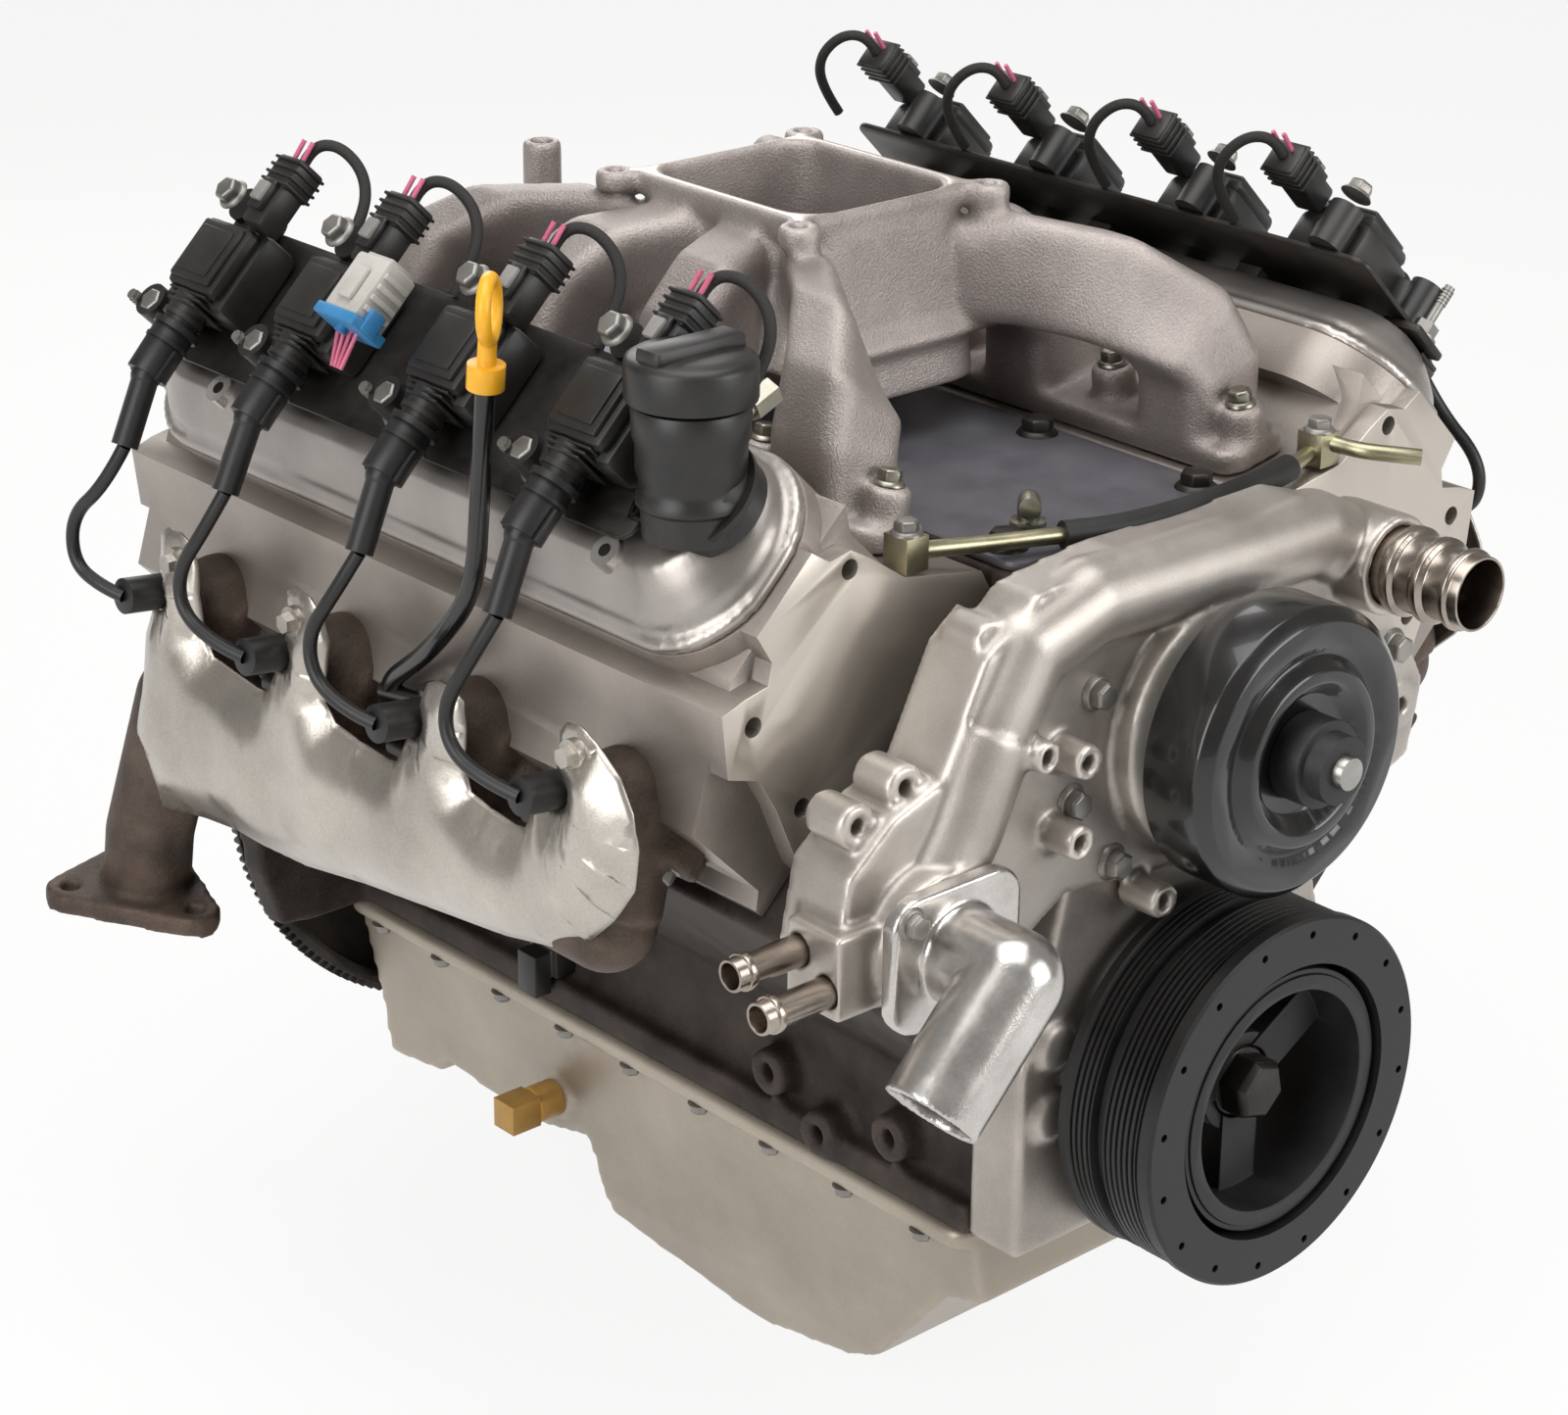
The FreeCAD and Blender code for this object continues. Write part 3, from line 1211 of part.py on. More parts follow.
def coil_bolts():
    heads = []
    for side in (-1, 1):
        for y in coil_rows(side):
            for across, along, top in coil_bolt_places:
                place = (across, y - side * along, coil_seat + top)
                heads.append(seat(hexagon(place, (0, 0, 1), 12, 8), side))
    return group(heads)


def plug_end(y):
    """Outer end of a plug boot, on the right-hand bank."""
    lean = math.radians(90 - plug_angle)
    across = plug_seat_across + 60 * math.sin(lean)
    return bank_point(-1, across, y, plug_height + 60 * math.cos(lean))


# Plug wires of the right-hand bank, rear to front: knee of the upper boot, its lower end, and the
# wire's own route down to the boot on the plug. The left bank has the same four turned end for end.
upper_boots = (
    ((-9.0, -92.5, 415.0), (27.0, -95.0, 403.0)),
    ((-9.0, -186.0, 415.0), (27.0, -187.0, 403.0)),
    ((-9.0, -297.0, 415.0), (27.0, -300.0, 403.0)),
    ((-9.0, -404.0, 415.0), (27.0, -407.0, 403.0)),
)
wire_routes = (
    ((-313.0, -88.0, 245.0), (-317.0, -60.0, 222.0), (-318.0, -60.0, 196.0), (-314.0, -80.0, 187.0)),
    ((-313.0, -180.0, 246.0), (-317.0, -160.0, 220.0), (-318.0, -163.0, 198.0),
     (-314.0, -188.0, 187.0)),
    ((-313.0, -292.0, 246.0), (-317.0, -273.0, 220.0), (-318.0, -278.0, 198.0),
     (-314.0, -301.0, 187.0)),
    ((-313.0, -398.0, 244.0), (-317.0, -381.0, 216.0), (-318.0, -388.0, 196.0),
     (-314.0, -412.0, 187.0)),
)
wire_radius = 3.6
lead_radius = 3.0


def turned_end_for_end(shape):
    placed = shape.copy()
    placed.rotate(Vector(0, (coil_mirror_y - bank_offset) / 2, 0), Vector(0, 0, 1), 180)
    return placed


def upper_boot(i):
    """Angled boot from a coil's tower to the wire."""
    y = coil_places_right[i]
    knee, end = upper_boots[i]
    start = bank_point(-1, boot_top_across, y + 1, coil_tower_height)
    bend = Vector(*bank_point(-1, *knee))
    foot = Vector(*bank_point(-1, *end))
    thick = cylinder(start, tuple(bend - Vector(*start)), 11, (bend - Vector(*start)).Length)
    thin = cylinder(tuple(bend), tuple(foot - bend), 7, (foot - bend).Length)
    return fused([thick, Part.makeSphere(8, bend), thin])


def plug_wires():
    """Eight wires, each from its upper boot down to the boot on its plug."""
    wires = []
    for i, route in enumerate(wire_routes):
        start = bank_point(-1, *upper_boots[i][1])
        wire = tube((start,) + route + (plug_end(cylinder_y(i)),), wire_radius)
        wires += [wire, turned_end_for_end(wire)]
    return group(wires).cut(plug_boots())


def coil_leads():
    """Short loops of harness from each coil's connector down to the bracket's upper edge."""
    loops = []
    for y in coil_places_right:
        route = [bank_point(-1, across, y + along, coil_seat + rise) for across, along, rise in
                 ((-140, -24, 31), (-151, -25, 34), (-158, -37, 28), (-152, -50, 14), (-134, -56, 5),
                  (-112, -54, 1.5))]
        loop = tube(route, lead_radius)
        loops += [loop, turned_end_for_end(loop)]
    return group(loops).cut(group([ignition_coils(-1), ignition_coils(1)]))




def oil_fill_neck():
    """Moulded neck that rises from the right cover and turns upright."""
    x, y = neck_place
    foot = seat(cylinder((-62, y, cover_top - 8), (0, 0, 1), neck_radius - 1, 14), -1)
    neck = cylinder((x, y, 328), (0, 0, 1), neck_radius, neck_top_z - 328)
    bore = cylinder((x, y, 336), (0, 0, 1), neck_radius - 5, 60)
    cover = valve_cover(-1)
    return foot.fuse(neck).cut(bore).cut(cover).removeSplitter()


def oil_fill_cap():
    """Quarter-turn cap with a grip bar."""
    x, y = neck_place
    foot = neck_top_z + 0.3
    shell = cylinder((x, y, foot), (0, 0, 1), cap_radius, cap_height)
    grip = box(x - cap_radius + 4, x + cap_radius - 4, y - 7, y + 7, foot + cap_height,
               foot + cap_height + 8)
    return shell.fuse(grip).removeSplitter()


dipstick_top = (-270.0, -357.0, 354.0)
dipstick_lean = (0.0, -0.114, 0.9935)
dipstick_tube_radius = 5.0
dipstick_bore = 3.4
dipstick_route = ((-270.0, -345.2, 251.0), (-272.0, -312.0, 212.0), (-269.0, -263.0, 176.0),
                  (-243.0, -258.0, 130.0), (-190.0, -256.0, 58.0), (-140.0, -252.0, -2.0),
                  (-105.8, -251.0, -30.0))


def dipstick_tube():
    """Steel guide tube from the block's side, between the manifold's runners, past the cover."""
    return tube((dipstick_top,) + dipstick_route, dipstick_tube_radius, dipstick_bore)


def dipstick():
    """Blade, stopper and pull ring."""
    top = Vector(*dipstick_top)
    lean = Vector(*dipstick_lean)
    blade = Part.makeCylinder(1.8, 94, top - lean * 90, lean)
    stopper = Part.makeCylinder(9, 12, top + lean * 0.4, lean)
    bar = Part.makeCylinder(4.5, 14, top + lean * 12, lean)
    loop = Part.makeTorus(14, 3.6, top + lean * 39, Vector(0.66, -0.75, 0))
    return fused([blade, stopper, bar, loop])


builders = {
    "engine_block": engine_block,
    "main_bearing_caps": main_bearing_caps,
    "crankshaft": crankshaft,
    "camshaft": camshaft,
    "crank_sprocket": crank_sprocket,
    "cam_sprocket": cam_sprocket,
    "timing_chain": timing_chain,
    "front_cover": front_cover,
    "damper_hub": damper_hub,
    "damper_rubber": damper_rubber_ring,
    "damper_ring": damper_ring,
    "crank_bolt": crank_bolt,
    "flexplate": flexplate,
    "flexplate_bolts": flexplate_bolts,
    "rear_seal_cover": rear_seal_cover,
    "pistons": pistons,
    "cylinder_head_right": lambda: cylinder_head(-1),
    "cylinder_head_left": lambda: cylinder_head(1),
    "head_gaskets": head_gaskets,
    "valve_cover_right": lambda: valve_cover(-1),
    "valve_cover_left": lambda: valve_cover(1),
    "valve_cover_bolts": valve_cover_bolts,
    "intake_manifold": intake_manifold,
    "intake_bolts": intake_bolts,
    "valley_cover": valley_cover,
    "valley_cover_bolts": valley_cover_bolts,
    "valley_nipple": valley_nipple,
    "coolant_vent_pipes": coolant_vent_pipes,
    "vent_bolts": vent_bolts,
    "coolant_vent_hose": coolant_vent_hose,
    "water_pump_housing": water_pump_housing,
    "heater_pipes": heater_pipes,
    "water_outlet_pipe": water_outlet_pipe,
    "thermostat_elbow": thermostat_elbow,
    "water_pump_bolts": water_pump_bolts,
    "water_pump_shaft": water_pump_shaft,
    "water_pump_pulley": water_pump_pulley,
    "fan_hub": fan_hub,
    "oil_pan": oil_pan,
    "oil_pan_bolts": oil_pan_bolts,
    "oil_level_sensor": oil_level_sensor,
    "crank_position_sensor": crank_position_sensor,
    "exhaust_manifold_right": lambda: exhaust_manifold(-1),
    "exhaust_manifold_left": lambda: exhaust_manifold(1),
    "heat_shield_right": lambda: heat_shield(-1),
    "heat_shield_left": lambda: heat_shield(1),
    "exhaust_bolts": exhaust_bolts,
    "spark_plugs": spark_plugs,
    "plug_boots": plug_boots,
    "coil_bracket_right": lambda: coil_bracket(-1),
    "coil_bracket_left": lambda: coil_bracket(1),
    "ignition_coils_right": lambda: ignition_coils(-1),
    "ignition_coils_left": lambda: ignition_coils(1),
    "coil_bolts": coil_bolts,
    "plug_wires": plug_wires,
    "coil_leads": coil_leads,
    "oil_fill_neck": oil_fill_neck,
    "oil_fill_cap": oil_fill_cap,
    "dipstick_tube": dipstick_tube,
    "dipstick": dipstick,
}

os.makedirs("parts", exist_ok=True)
for node, build in builders.items():
    shape = build()
    print(node, "solids", len(shape.Solids), "valid", shape.isValid(), "cm3",
          round(shape.Volume / 1000, 1), flush=True)
    shape.exportStep("parts/" + node + ".step")
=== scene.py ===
import json
import math

import bmesh
import bpy
from mathutils import Matrix, Vector
from mathutils.kdtree import KDTree

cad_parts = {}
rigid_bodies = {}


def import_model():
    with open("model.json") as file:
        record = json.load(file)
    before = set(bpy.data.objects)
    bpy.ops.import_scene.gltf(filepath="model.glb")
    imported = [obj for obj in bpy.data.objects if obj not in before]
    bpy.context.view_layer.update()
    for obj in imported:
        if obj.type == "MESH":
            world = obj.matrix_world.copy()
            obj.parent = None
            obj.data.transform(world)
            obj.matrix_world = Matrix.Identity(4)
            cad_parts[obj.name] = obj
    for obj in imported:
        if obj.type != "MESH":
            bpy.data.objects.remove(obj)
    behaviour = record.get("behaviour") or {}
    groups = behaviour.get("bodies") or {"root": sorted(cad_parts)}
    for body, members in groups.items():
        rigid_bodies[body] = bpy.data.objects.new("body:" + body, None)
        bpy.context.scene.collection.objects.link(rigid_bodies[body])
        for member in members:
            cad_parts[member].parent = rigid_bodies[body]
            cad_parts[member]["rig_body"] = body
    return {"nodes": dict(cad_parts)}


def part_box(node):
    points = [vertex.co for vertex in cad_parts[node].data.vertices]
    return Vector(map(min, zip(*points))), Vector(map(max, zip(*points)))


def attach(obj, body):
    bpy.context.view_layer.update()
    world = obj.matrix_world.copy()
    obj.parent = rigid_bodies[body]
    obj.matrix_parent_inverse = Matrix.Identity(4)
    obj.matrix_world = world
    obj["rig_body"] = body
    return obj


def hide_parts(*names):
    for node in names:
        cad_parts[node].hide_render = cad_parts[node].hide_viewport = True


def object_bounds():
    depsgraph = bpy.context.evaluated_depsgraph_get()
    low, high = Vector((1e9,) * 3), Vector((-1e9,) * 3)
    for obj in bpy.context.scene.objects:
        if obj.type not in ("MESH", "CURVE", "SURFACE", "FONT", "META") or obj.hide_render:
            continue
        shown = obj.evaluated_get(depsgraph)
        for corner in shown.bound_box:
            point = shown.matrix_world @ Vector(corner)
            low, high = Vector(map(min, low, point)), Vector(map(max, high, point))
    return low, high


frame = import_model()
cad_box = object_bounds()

nodes = frame["nodes"]

# ---- Camera: a long lens, a little above the engine, off its right front corner.
# It stands two metres out, which flattens the two banks the way a catalogue view does.
azimuth = math.radians(-42.32)
elevation = math.radians(22.68)
roll = math.radians(0.71)
aim = Vector((-0.00963, -0.29963, 0.10876))
back = Vector((math.sin(azimuth) * math.cos(elevation), -math.cos(azimuth) * math.cos(elevation),
               math.sin(elevation)))
level_right = (-back).cross(Vector((0, 0, 1))).normalized()
level_up = level_right.cross(-back)
right = level_right * math.cos(roll) + level_up * math.sin(roll)
up = level_up * math.cos(roll) - level_right * math.sin(roll)
camera = bpy.data.objects.new("camera", bpy.data.cameras.new("camera"))
bpy.context.collection.objects.link(camera)
camera.matrix_world = Matrix.Translation(aim + back * 1.97751) @ Matrix(
    (right, up, back)).transposed().to_4x4()
camera.data.sensor_width = 36.0
camera.data.lens = 84.148
camera.data.shift_x = -0.02084
camera.data.shift_y = -0.00284
camera.data.clip_end = 50.0
bpy.context.scene.camera = camera


# ---- Floor, backdrop and studio light: a pale sweep under and behind the engine.
# Two broad soft boxes and a pale world keep colours near what they are written as.
def linear(code):
    """The linear colour of an sRGB hex code such as 8f8a84."""
    parts = [int(code[i:i + 2], 16) / 255 for i in (0, 2, 4)]
    return tuple(c / 12.92 if c <= 0.04045 else ((c + 0.055) / 1.055) ** 2.4 for c in parts) + (1.0,)


def add(tree, kind, settings=None, links=None):
    """A node with its input values and its incoming links."""
    node = tree.nodes.new(kind)
    for key, value in (settings or {}).items():
        if isinstance(key, str) and hasattr(node, key):
            setattr(node, key, value)
        else:
            node.inputs[key].default_value = value
    for key, source in (links or {}).items():
        tree.links.new(source, node.inputs[key])
    return node


floor_paint = bpy.data.materials.new("pale_studio_paint")
floor_paint.use_nodes = True
tree = floor_paint.node_tree
tree.nodes.clear()
paint = add(tree, "ShaderNodeBsdfDiffuse", {"Color": linear("f2f0ee")})
glow = add(tree, "ShaderNodeEmission", {"Color": linear("ffffff"), "Strength": 1.0})
ray = add(tree, "ShaderNodeLightPath")
seen = add(tree, "ShaderNodeMath", {"operation": "MAXIMUM"},
           {0: ray.outputs["Is Camera Ray"], 1: ray.outputs["Is Glossy Ray"]})
share = add(tree, "ShaderNodeMath", {"operation": "MULTIPLY", 1: 0.88}, {0: seen.outputs[0]})
mix = add(tree, "ShaderNodeMixShader", {}, {0: share.outputs[0], 1: paint.outputs[0],
                                           2: glow.outputs[0]})
add(tree, "ShaderNodeOutputMaterial", {}, {"Surface": mix.outputs[0]})

studio = bmesh.new()
bmesh.ops.create_grid(studio, x_segments=1, y_segments=1, size=8.0,
                      matrix=Matrix.Translation((0, 0, cad_box[0].z - 0.001)))
floor_mesh = bpy.data.meshes.new("floor")
studio.to_mesh(floor_mesh)
studio.free()
floor = bpy.data.objects.new("floor", floor_mesh)
bpy.context.collection.objects.link(floor)
floor_mesh.materials.append(floor_paint)

world = bpy.data.worlds.new("studio")
bpy.context.scene.world = world
world.use_nodes = True
tree = world.node_tree
tree.nodes.clear()
ray = add(tree, "ShaderNodeLightPath")
room = add(tree, "ShaderNodeBackground", {"Color": linear("d9d6d2"), "Strength": 0.42})
white = add(tree, "ShaderNodeBackground", {"Color": linear("ffffff"), "Strength": 1.0})
mix = add(tree, "ShaderNodeMixShader", {}, {0: ray.outputs["Is Camera Ray"],
                                           1: room.outputs[0], 2: white.outputs[0]})
add(tree, "ShaderNodeOutputWorld", {}, {"Surface": mix.outputs[0]})


def soft_box(name, place, target, size, power):
    lamp = bpy.data.lights.new(name, "AREA")
    lamp.shape = "RECTANGLE"
    lamp.size, lamp.size_y = size
    lamp.energy = power
    holder = bpy.data.objects.new(name, lamp)
    holder.location = place
    holder.rotation_mode = "QUATERNION"
    holder.rotation_quaternion = (Vector(target) - Vector(place)).to_track_quat("-Z", "Y")
    bpy.context.collection.objects.link(holder)


soft_box("top_box", (-0.2, -0.5, 1.9), (0, -0.3, 0.1), (1.6, 1.6), 26)
soft_box("left_box", (-2.0, -0.6, 0.9), (0, -0.3, 0.1), (1.2, 1.5), 24)
soft_box("front_box", (0.7, -2.3, 0.9), (0, -0.3, 0.1), (1.2, 1.2), 22)
soft_box("rear_box", (0.9, 1.6, 1.3), (0, -0.3, 0.1), (1.4, 1.2), 16)

bpy.context.scene.view_settings.view_transform = "Standard"


# ---- Cylinder block: grey iron, sand cast, left as cast outside and never painted.
# It reads as a dark brown-grey with a coarse grain; only the end faces and boss ends are milled.
def finish(name, light, dark, metallic, roughness, patch=0.03, grit=0.0008, bump=0.25,
           uneven=0.1, coat=0.0, hollow_shade=0.0, milled=(), milled_hex="cfcac3"):
    """A metal, paint or moulding: patchy colour, grain relief, uneven gloss and, when weighted, painted
    shade in hollows, sized in metres.
    """
    material = bpy.data.materials.new(name)
    material.use_nodes = True
    tree = material.node_tree
    shader = tree.nodes["Principled BSDF"]
    place = add(tree, "ShaderNodeTexCoord").outputs["Object"]
    broad = add(tree, "ShaderNodeTexNoise", {"Scale": 1 / patch, "Detail": 4.0, "Roughness": 0.6},
                {"Vector": place})
    fine = add(tree, "ShaderNodeTexNoise", {"Scale": 1 / grit, "Detail": 3.0, "Roughness": 0.65},
               {"Vector": place})
    both = add(tree, "ShaderNodeMath", {"operation": "MULTIPLY_ADD", 1: 0.45},
               {0: fine.outputs["Fac"], 2: broad.outputs["Fac"]})
    ramp = add(tree, "ShaderNodeValToRGB", {}, {"Fac": both.outputs[0]})
    ramp.color_ramp.elements[0].position = 0.5
    ramp.color_ramp.elements[0].color = linear(dark)
    ramp.color_ramp.elements[1].position = 0.95
    ramp.color_ramp.elements[1].color = linear(light)
    colour = ramp.outputs["Color"]
    gloss = add(tree, "ShaderNodeMapRange", {"To Min": roughness - uneven,
                                             "To Max": roughness + uneven},
                {"Value": broad.outputs["Fac"]}).outputs[0]
    height = fine.outputs["Fac"]
    # Painted shade: with a weight given, the colour is darkened in hollows and lightened on sharp
    # ridges, read from the surface's pointiness.
    if hollow_shade:
        edge = add(tree, "ShaderNodeNewGeometry").outputs["Pointiness"]
        shade = add(tree, "ShaderNodeMapRange", {"From Min": 0.44, "From Max": 0.56,
                                                 "To Min": 1.0 - hollow_shade, "To Max": 1.0 + hollow_shade},
                    {"Value": edge})
        toned = add(tree, "ShaderNodeVectorMath", {"operation": "SCALE"},
                    {0: colour, "Scale": shade.outputs[0]})
        colour = toned.outputs[0]
    if milled:
        axes = add(tree, "ShaderNodeSeparateXYZ", {}, {0: place})
        cut = None
        for axis, side, limit in milled:
            test = add(tree, "ShaderNodeMath", {"operation": side, 1: limit},
                       {0: axes.outputs[axis]})
            cut = test if cut is None else add(tree, "ShaderNodeMath", {"operation": "MAXIMUM"},
                                               {0: cut.outputs[0], 1: test.outputs[0]})
        bright = add(tree, "ShaderNodeMix", {"data_type": "RGBA"}, {0: cut.outputs[0], 6: colour})
        bright.inputs[7].default_value = linear(milled_hex)
        colour = bright.outputs[2]
        smooth = add(tree, "ShaderNodeMix", {3: 0.3}, {0: cut.outputs[0], 2: gloss})
        gloss = smooth.outputs[0]
        flat = add(tree, "ShaderNodeMix", {3: 0.5}, {0: cut.outputs[0], 2: height})
        height = flat.outputs[0]
    tree.links.new(colour, shader.inputs["Base Color"])
    tree.links.new(gloss, shader.inputs["Roughness"])
    relief = add(tree, "ShaderNodeBump", {"Strength": bump, "Distance": grit * 0.6},
                 {"Height": height})
    tree.links.new(relief.outputs[0], shader.inputs["Normal"])
    shader.inputs["Metallic"].default_value = metallic
    shader.inputs["Coat Weight"].default_value = coat
    return material


def coat_node(node, material):
    """Gives a CAD node its finish."""
    if not nodes[node].material_slots:
        nodes[node].data.materials.append(material)
    for entry in nodes[node].material_slots:
        entry.link = "OBJECT"
        entry.material = material


def soften(node, width, angle=35):
    """Breaks a machined or moulded node's sharp edges by a fine round."""
    part = nodes[node]
    weld = part.modifiers.new("weld", "WELD")
    weld.merge_threshold = 0.00001
    flat = part.modifiers.new("flat", "DECIMATE")
    flat.decimate_type = "DISSOLVE"
    flat.angle_limit = math.radians(0.5)
    edge = part.modifiers.new("edge", "BEVEL")
    edge.width = width
    edge.segments = 2
    edge.limit_method = "ANGLE"
    edge.angle_limit = math.radians(angle)
    split = part.modifiers.new("split", "EDGE_SPLIT")
    split.split_angle = math.radians(angle)
    for face in part.data.polygons:
        face.use_smooth = True


def piece(name, shape, material, slot, body, *replaced):
    """Turns a bmesh into a finished piece that rides on a body and may stand for CAD nodes."""
    mesh = bpy.data.meshes.new(name)
    for face in shape.faces:
        face.smooth = True
    shape.to_mesh(mesh)
    shape.free()
    mesh.materials.append(material)
    part = bpy.data.objects.new(name, mesh)
    bpy.context.collection.objects.link(part)
    if replaced:
        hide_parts(*replaced)
    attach(part, body)
    return part


def crisp(part, angle=35):
    """Keeps edges sharper than the angle and shades the rest smooth."""
    split = part.modifiers.new("split", "EDGE_SPLIT")
    split.split_angle = math.radians(angle)
    return part


def cast_skin(node, voxel, passes, material, slot, forms=None):
    """A casting's rounded skin: the node's solid with any added forms, every corner eased."""
    shape = bmesh.new()
    shape.from_mesh(nodes[node].data)
    if forms:
        forms(shape)
    bmesh.ops.remove_doubles(shape, verts=shape.verts, dist=0.00001)
    part = piece(node + "_skin", shape, material, slot, nodes[node]["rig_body"], node)
    skin = part.modifiers.new("skin", "REMESH")
    skin.mode = "VOXEL"
    skin.voxel_size = voxel
    skin.use_smooth_shade = True
    ease = part.modifiers.new("ease", "SMOOTH")
    ease.factor = 0.5
    ease.iterations = passes
    return part


cast_iron = finish("sand_cast_grey_iron", "4b423c", "221d1a", 0.45, 0.62, grit=0.0012, bump=0.6,
                   hollow_shade=0.35)
dark_steel = finish("phosphated_steel", "4a4643", "2a2826", 0.75, 0.4, grit=0.0006, bump=0.15)
cast_skin("engine_block", 0.0028, 3, cast_iron, "cast_iron_block")
coat_node("main_bearing_caps", cast_iron)

# ---- Crank train and timing set inside the block: forged and turned steel, lightly oiled.
# Little of it shows past the covers, so the nodes keep their shape with broken edges.
machined_steel = finish("turned_steel", "b9b6b2", "8c8986", 1.0, 0.3, grit=0.0005, bump=0.1)
piston_alloy = finish("turned_piston_alloy", "b5b1ac", "918d88", 0.9, 0.36, grit=0.0006, bump=0.1)
for inner in ("crankshaft", "camshaft", "crank_sprocket", "cam_sprocket", "water_pump_shaft"):
    coat_node(inner, machined_steel)
    soften(inner, 0.0006)
coat_node("timing_chain", dark_steel)
coat_node("pistons", piston_alloy)

# ---- Damper: an iron ring on a rubber band round a three-spoke hub, electrocoated black.
# Two sets of belt ribs are turned in its rim and small balance holes are drilled in its face.
black_iron = finish("electrocoated_iron", "211f1f", "111010", 0.0, 0.5, grit=0.0009, bump=0.25)
black_rubber = finish("moulded_epdm_rubber", "242323", "121111", 0.0, 0.52, grit=0.0007, bump=0.2)


def turned(name, profile, centre, material, slot, body, *replaced, steps=96):
    """A lathe-turned piece: (radius, y) points in millimetres spun about an axis along Y."""
    shape = bmesh.new()
    axis = Vector((centre[0] / 1000, 0, centre[1] / 1000))
    points = [shape.verts.new((axis.x + r / 1000, y / 1000, axis.z)) for r, y in profile]
    edges = [shape.edges.new(pair) for pair in zip(points, points[1:] + points[:1])]
    bmesh.ops.spin(shape, geom=points + edges, cent=axis, axis=(0, 1, 0), angle=math.tau,
                   steps=steps, use_merge=True)
    bmesh.ops.remove_doubles(shape, verts=shape.verts, dist=0.00001)
    bmesh.ops.recalc_face_normals(shape, faces=shape.faces)
    return piece(name, shape, material, slot, body, *replaced)


def rod(shape, start, end, radius, sides=24, far_radius=None):
    """A capped round bar between two points in metres."""
    start, end = Vector(start), Vector(end)
    turn = (end - start).to_track_quat("Z", "Y").to_matrix().to_4x4()
    place = Matrix.Translation((start + end) / 2) @ turn
    made = bmesh.ops.create_cone(shape, cap_ends=True, segments=sides, radius1=radius,
                                 radius2=radius if far_radius is None else far_radius,
                                 depth=(end - start).length, matrix=place)
    return made["verts"]


def carve(part, cutters):
    """Cuts a bmesh of closed shapes out of a piece for good."""
    mesh = bpy.data.meshes.new("cutters")
    cutters.to_mesh(mesh)
    cutters.free()
    tool = bpy.data.objects.new("cutters", mesh)
    bpy.context.collection.objects.link(tool)
    cut = part.modifiers.new("cut", "BOOLEAN")
    cut.operation = "DIFFERENCE"
    cut.solver = "EXACT"
    cut.object = tool
    bpy.context.view_layer.update()
    done = bpy.data.meshes.new_from_object(part.evaluated_get(
        bpy.context.evaluated_depsgraph_get()))
    part.modifiers.remove(cut)
    part.data = done
    bpy.data.objects.remove(tool)


def belt_ribs(outer, first, count, pitch, depth):
    """Profile of a ribbed belt track, from the front backwards."""
    points = []
    for i in range(count):
        y = first + i * pitch
        points += [(outer, y), (outer, y + pitch * 0.25), (outer - depth, y + pitch * 0.5),
                   (outer, y + pitch * 0.75)]
    return points + [(outer, first + count * pitch)]


rim = [(72.5, -633.9), (95.6, -633.9), (97.1, -632.4), (97.1, -626.0), (93.5, -624.5)]
rim += belt_ribs(96.0, -623.5, 6, 3.56, 2.6)
rim += [(91.0, -600.5), (91.0, -594.5)]
rim += belt_ribs(96.0, -593.5, 4, 3.56, 2.6)
rim += [(97.1, -578.0), (97.1, -573.5), (95.6, -572.0), (72.5, -572.0)]
ring = turned("damper_rim", rim, (0, 0), black_iron, "black_paint", "crank", "damper_ring",
              steps=128)
drills = bmesh.new()
for i in range(16):
    a = math.radians(22.5 * i + 8)
    spot = Vector((0.0885 * math.sin(a), -0.6345, 0.0885 * math.cos(a)))
    rod(drills, spot, spot + Vector((0, 0.009, 0)), 0.0021, 12)
carve(ring, drills)
crisp(ring)
coat_node("damper_hub", black_iron)
soften("damper_hub", 0.002)
coat_node("damper_rubber", black_rubber)
soften("damper_rubber", 0.0008)

# ---- Flexplate: pressed steel with the starter ring gear shrunk round its edge.
# Its teeth are cut in the ring and show as a dark comb behind the block.
coat_node("flexplate", dark_steel)
soften("flexplate", 0.0008)
teeth = bmesh.new()
for i in range(168):
    a = math.tau * i / 168
    place = Matrix.Rotation(a, 4, "Y") @ Matrix.Translation((0, 0.016, 0.1795))
    bmesh.ops.create_cone(teeth, cap_ends=True, segments=4, radius1=0.0030, radius2=0.0019,
                          depth=0.0055, matrix=place @ Matrix.Diagonal((0.75, 2.4, 1, 1)) @
                          Matrix.Rotation(math.radians(45), 4, "Z"))
crisp(piece("ring_gear_teeth", teeth, dark_steel, "dark_steel", "crank"))
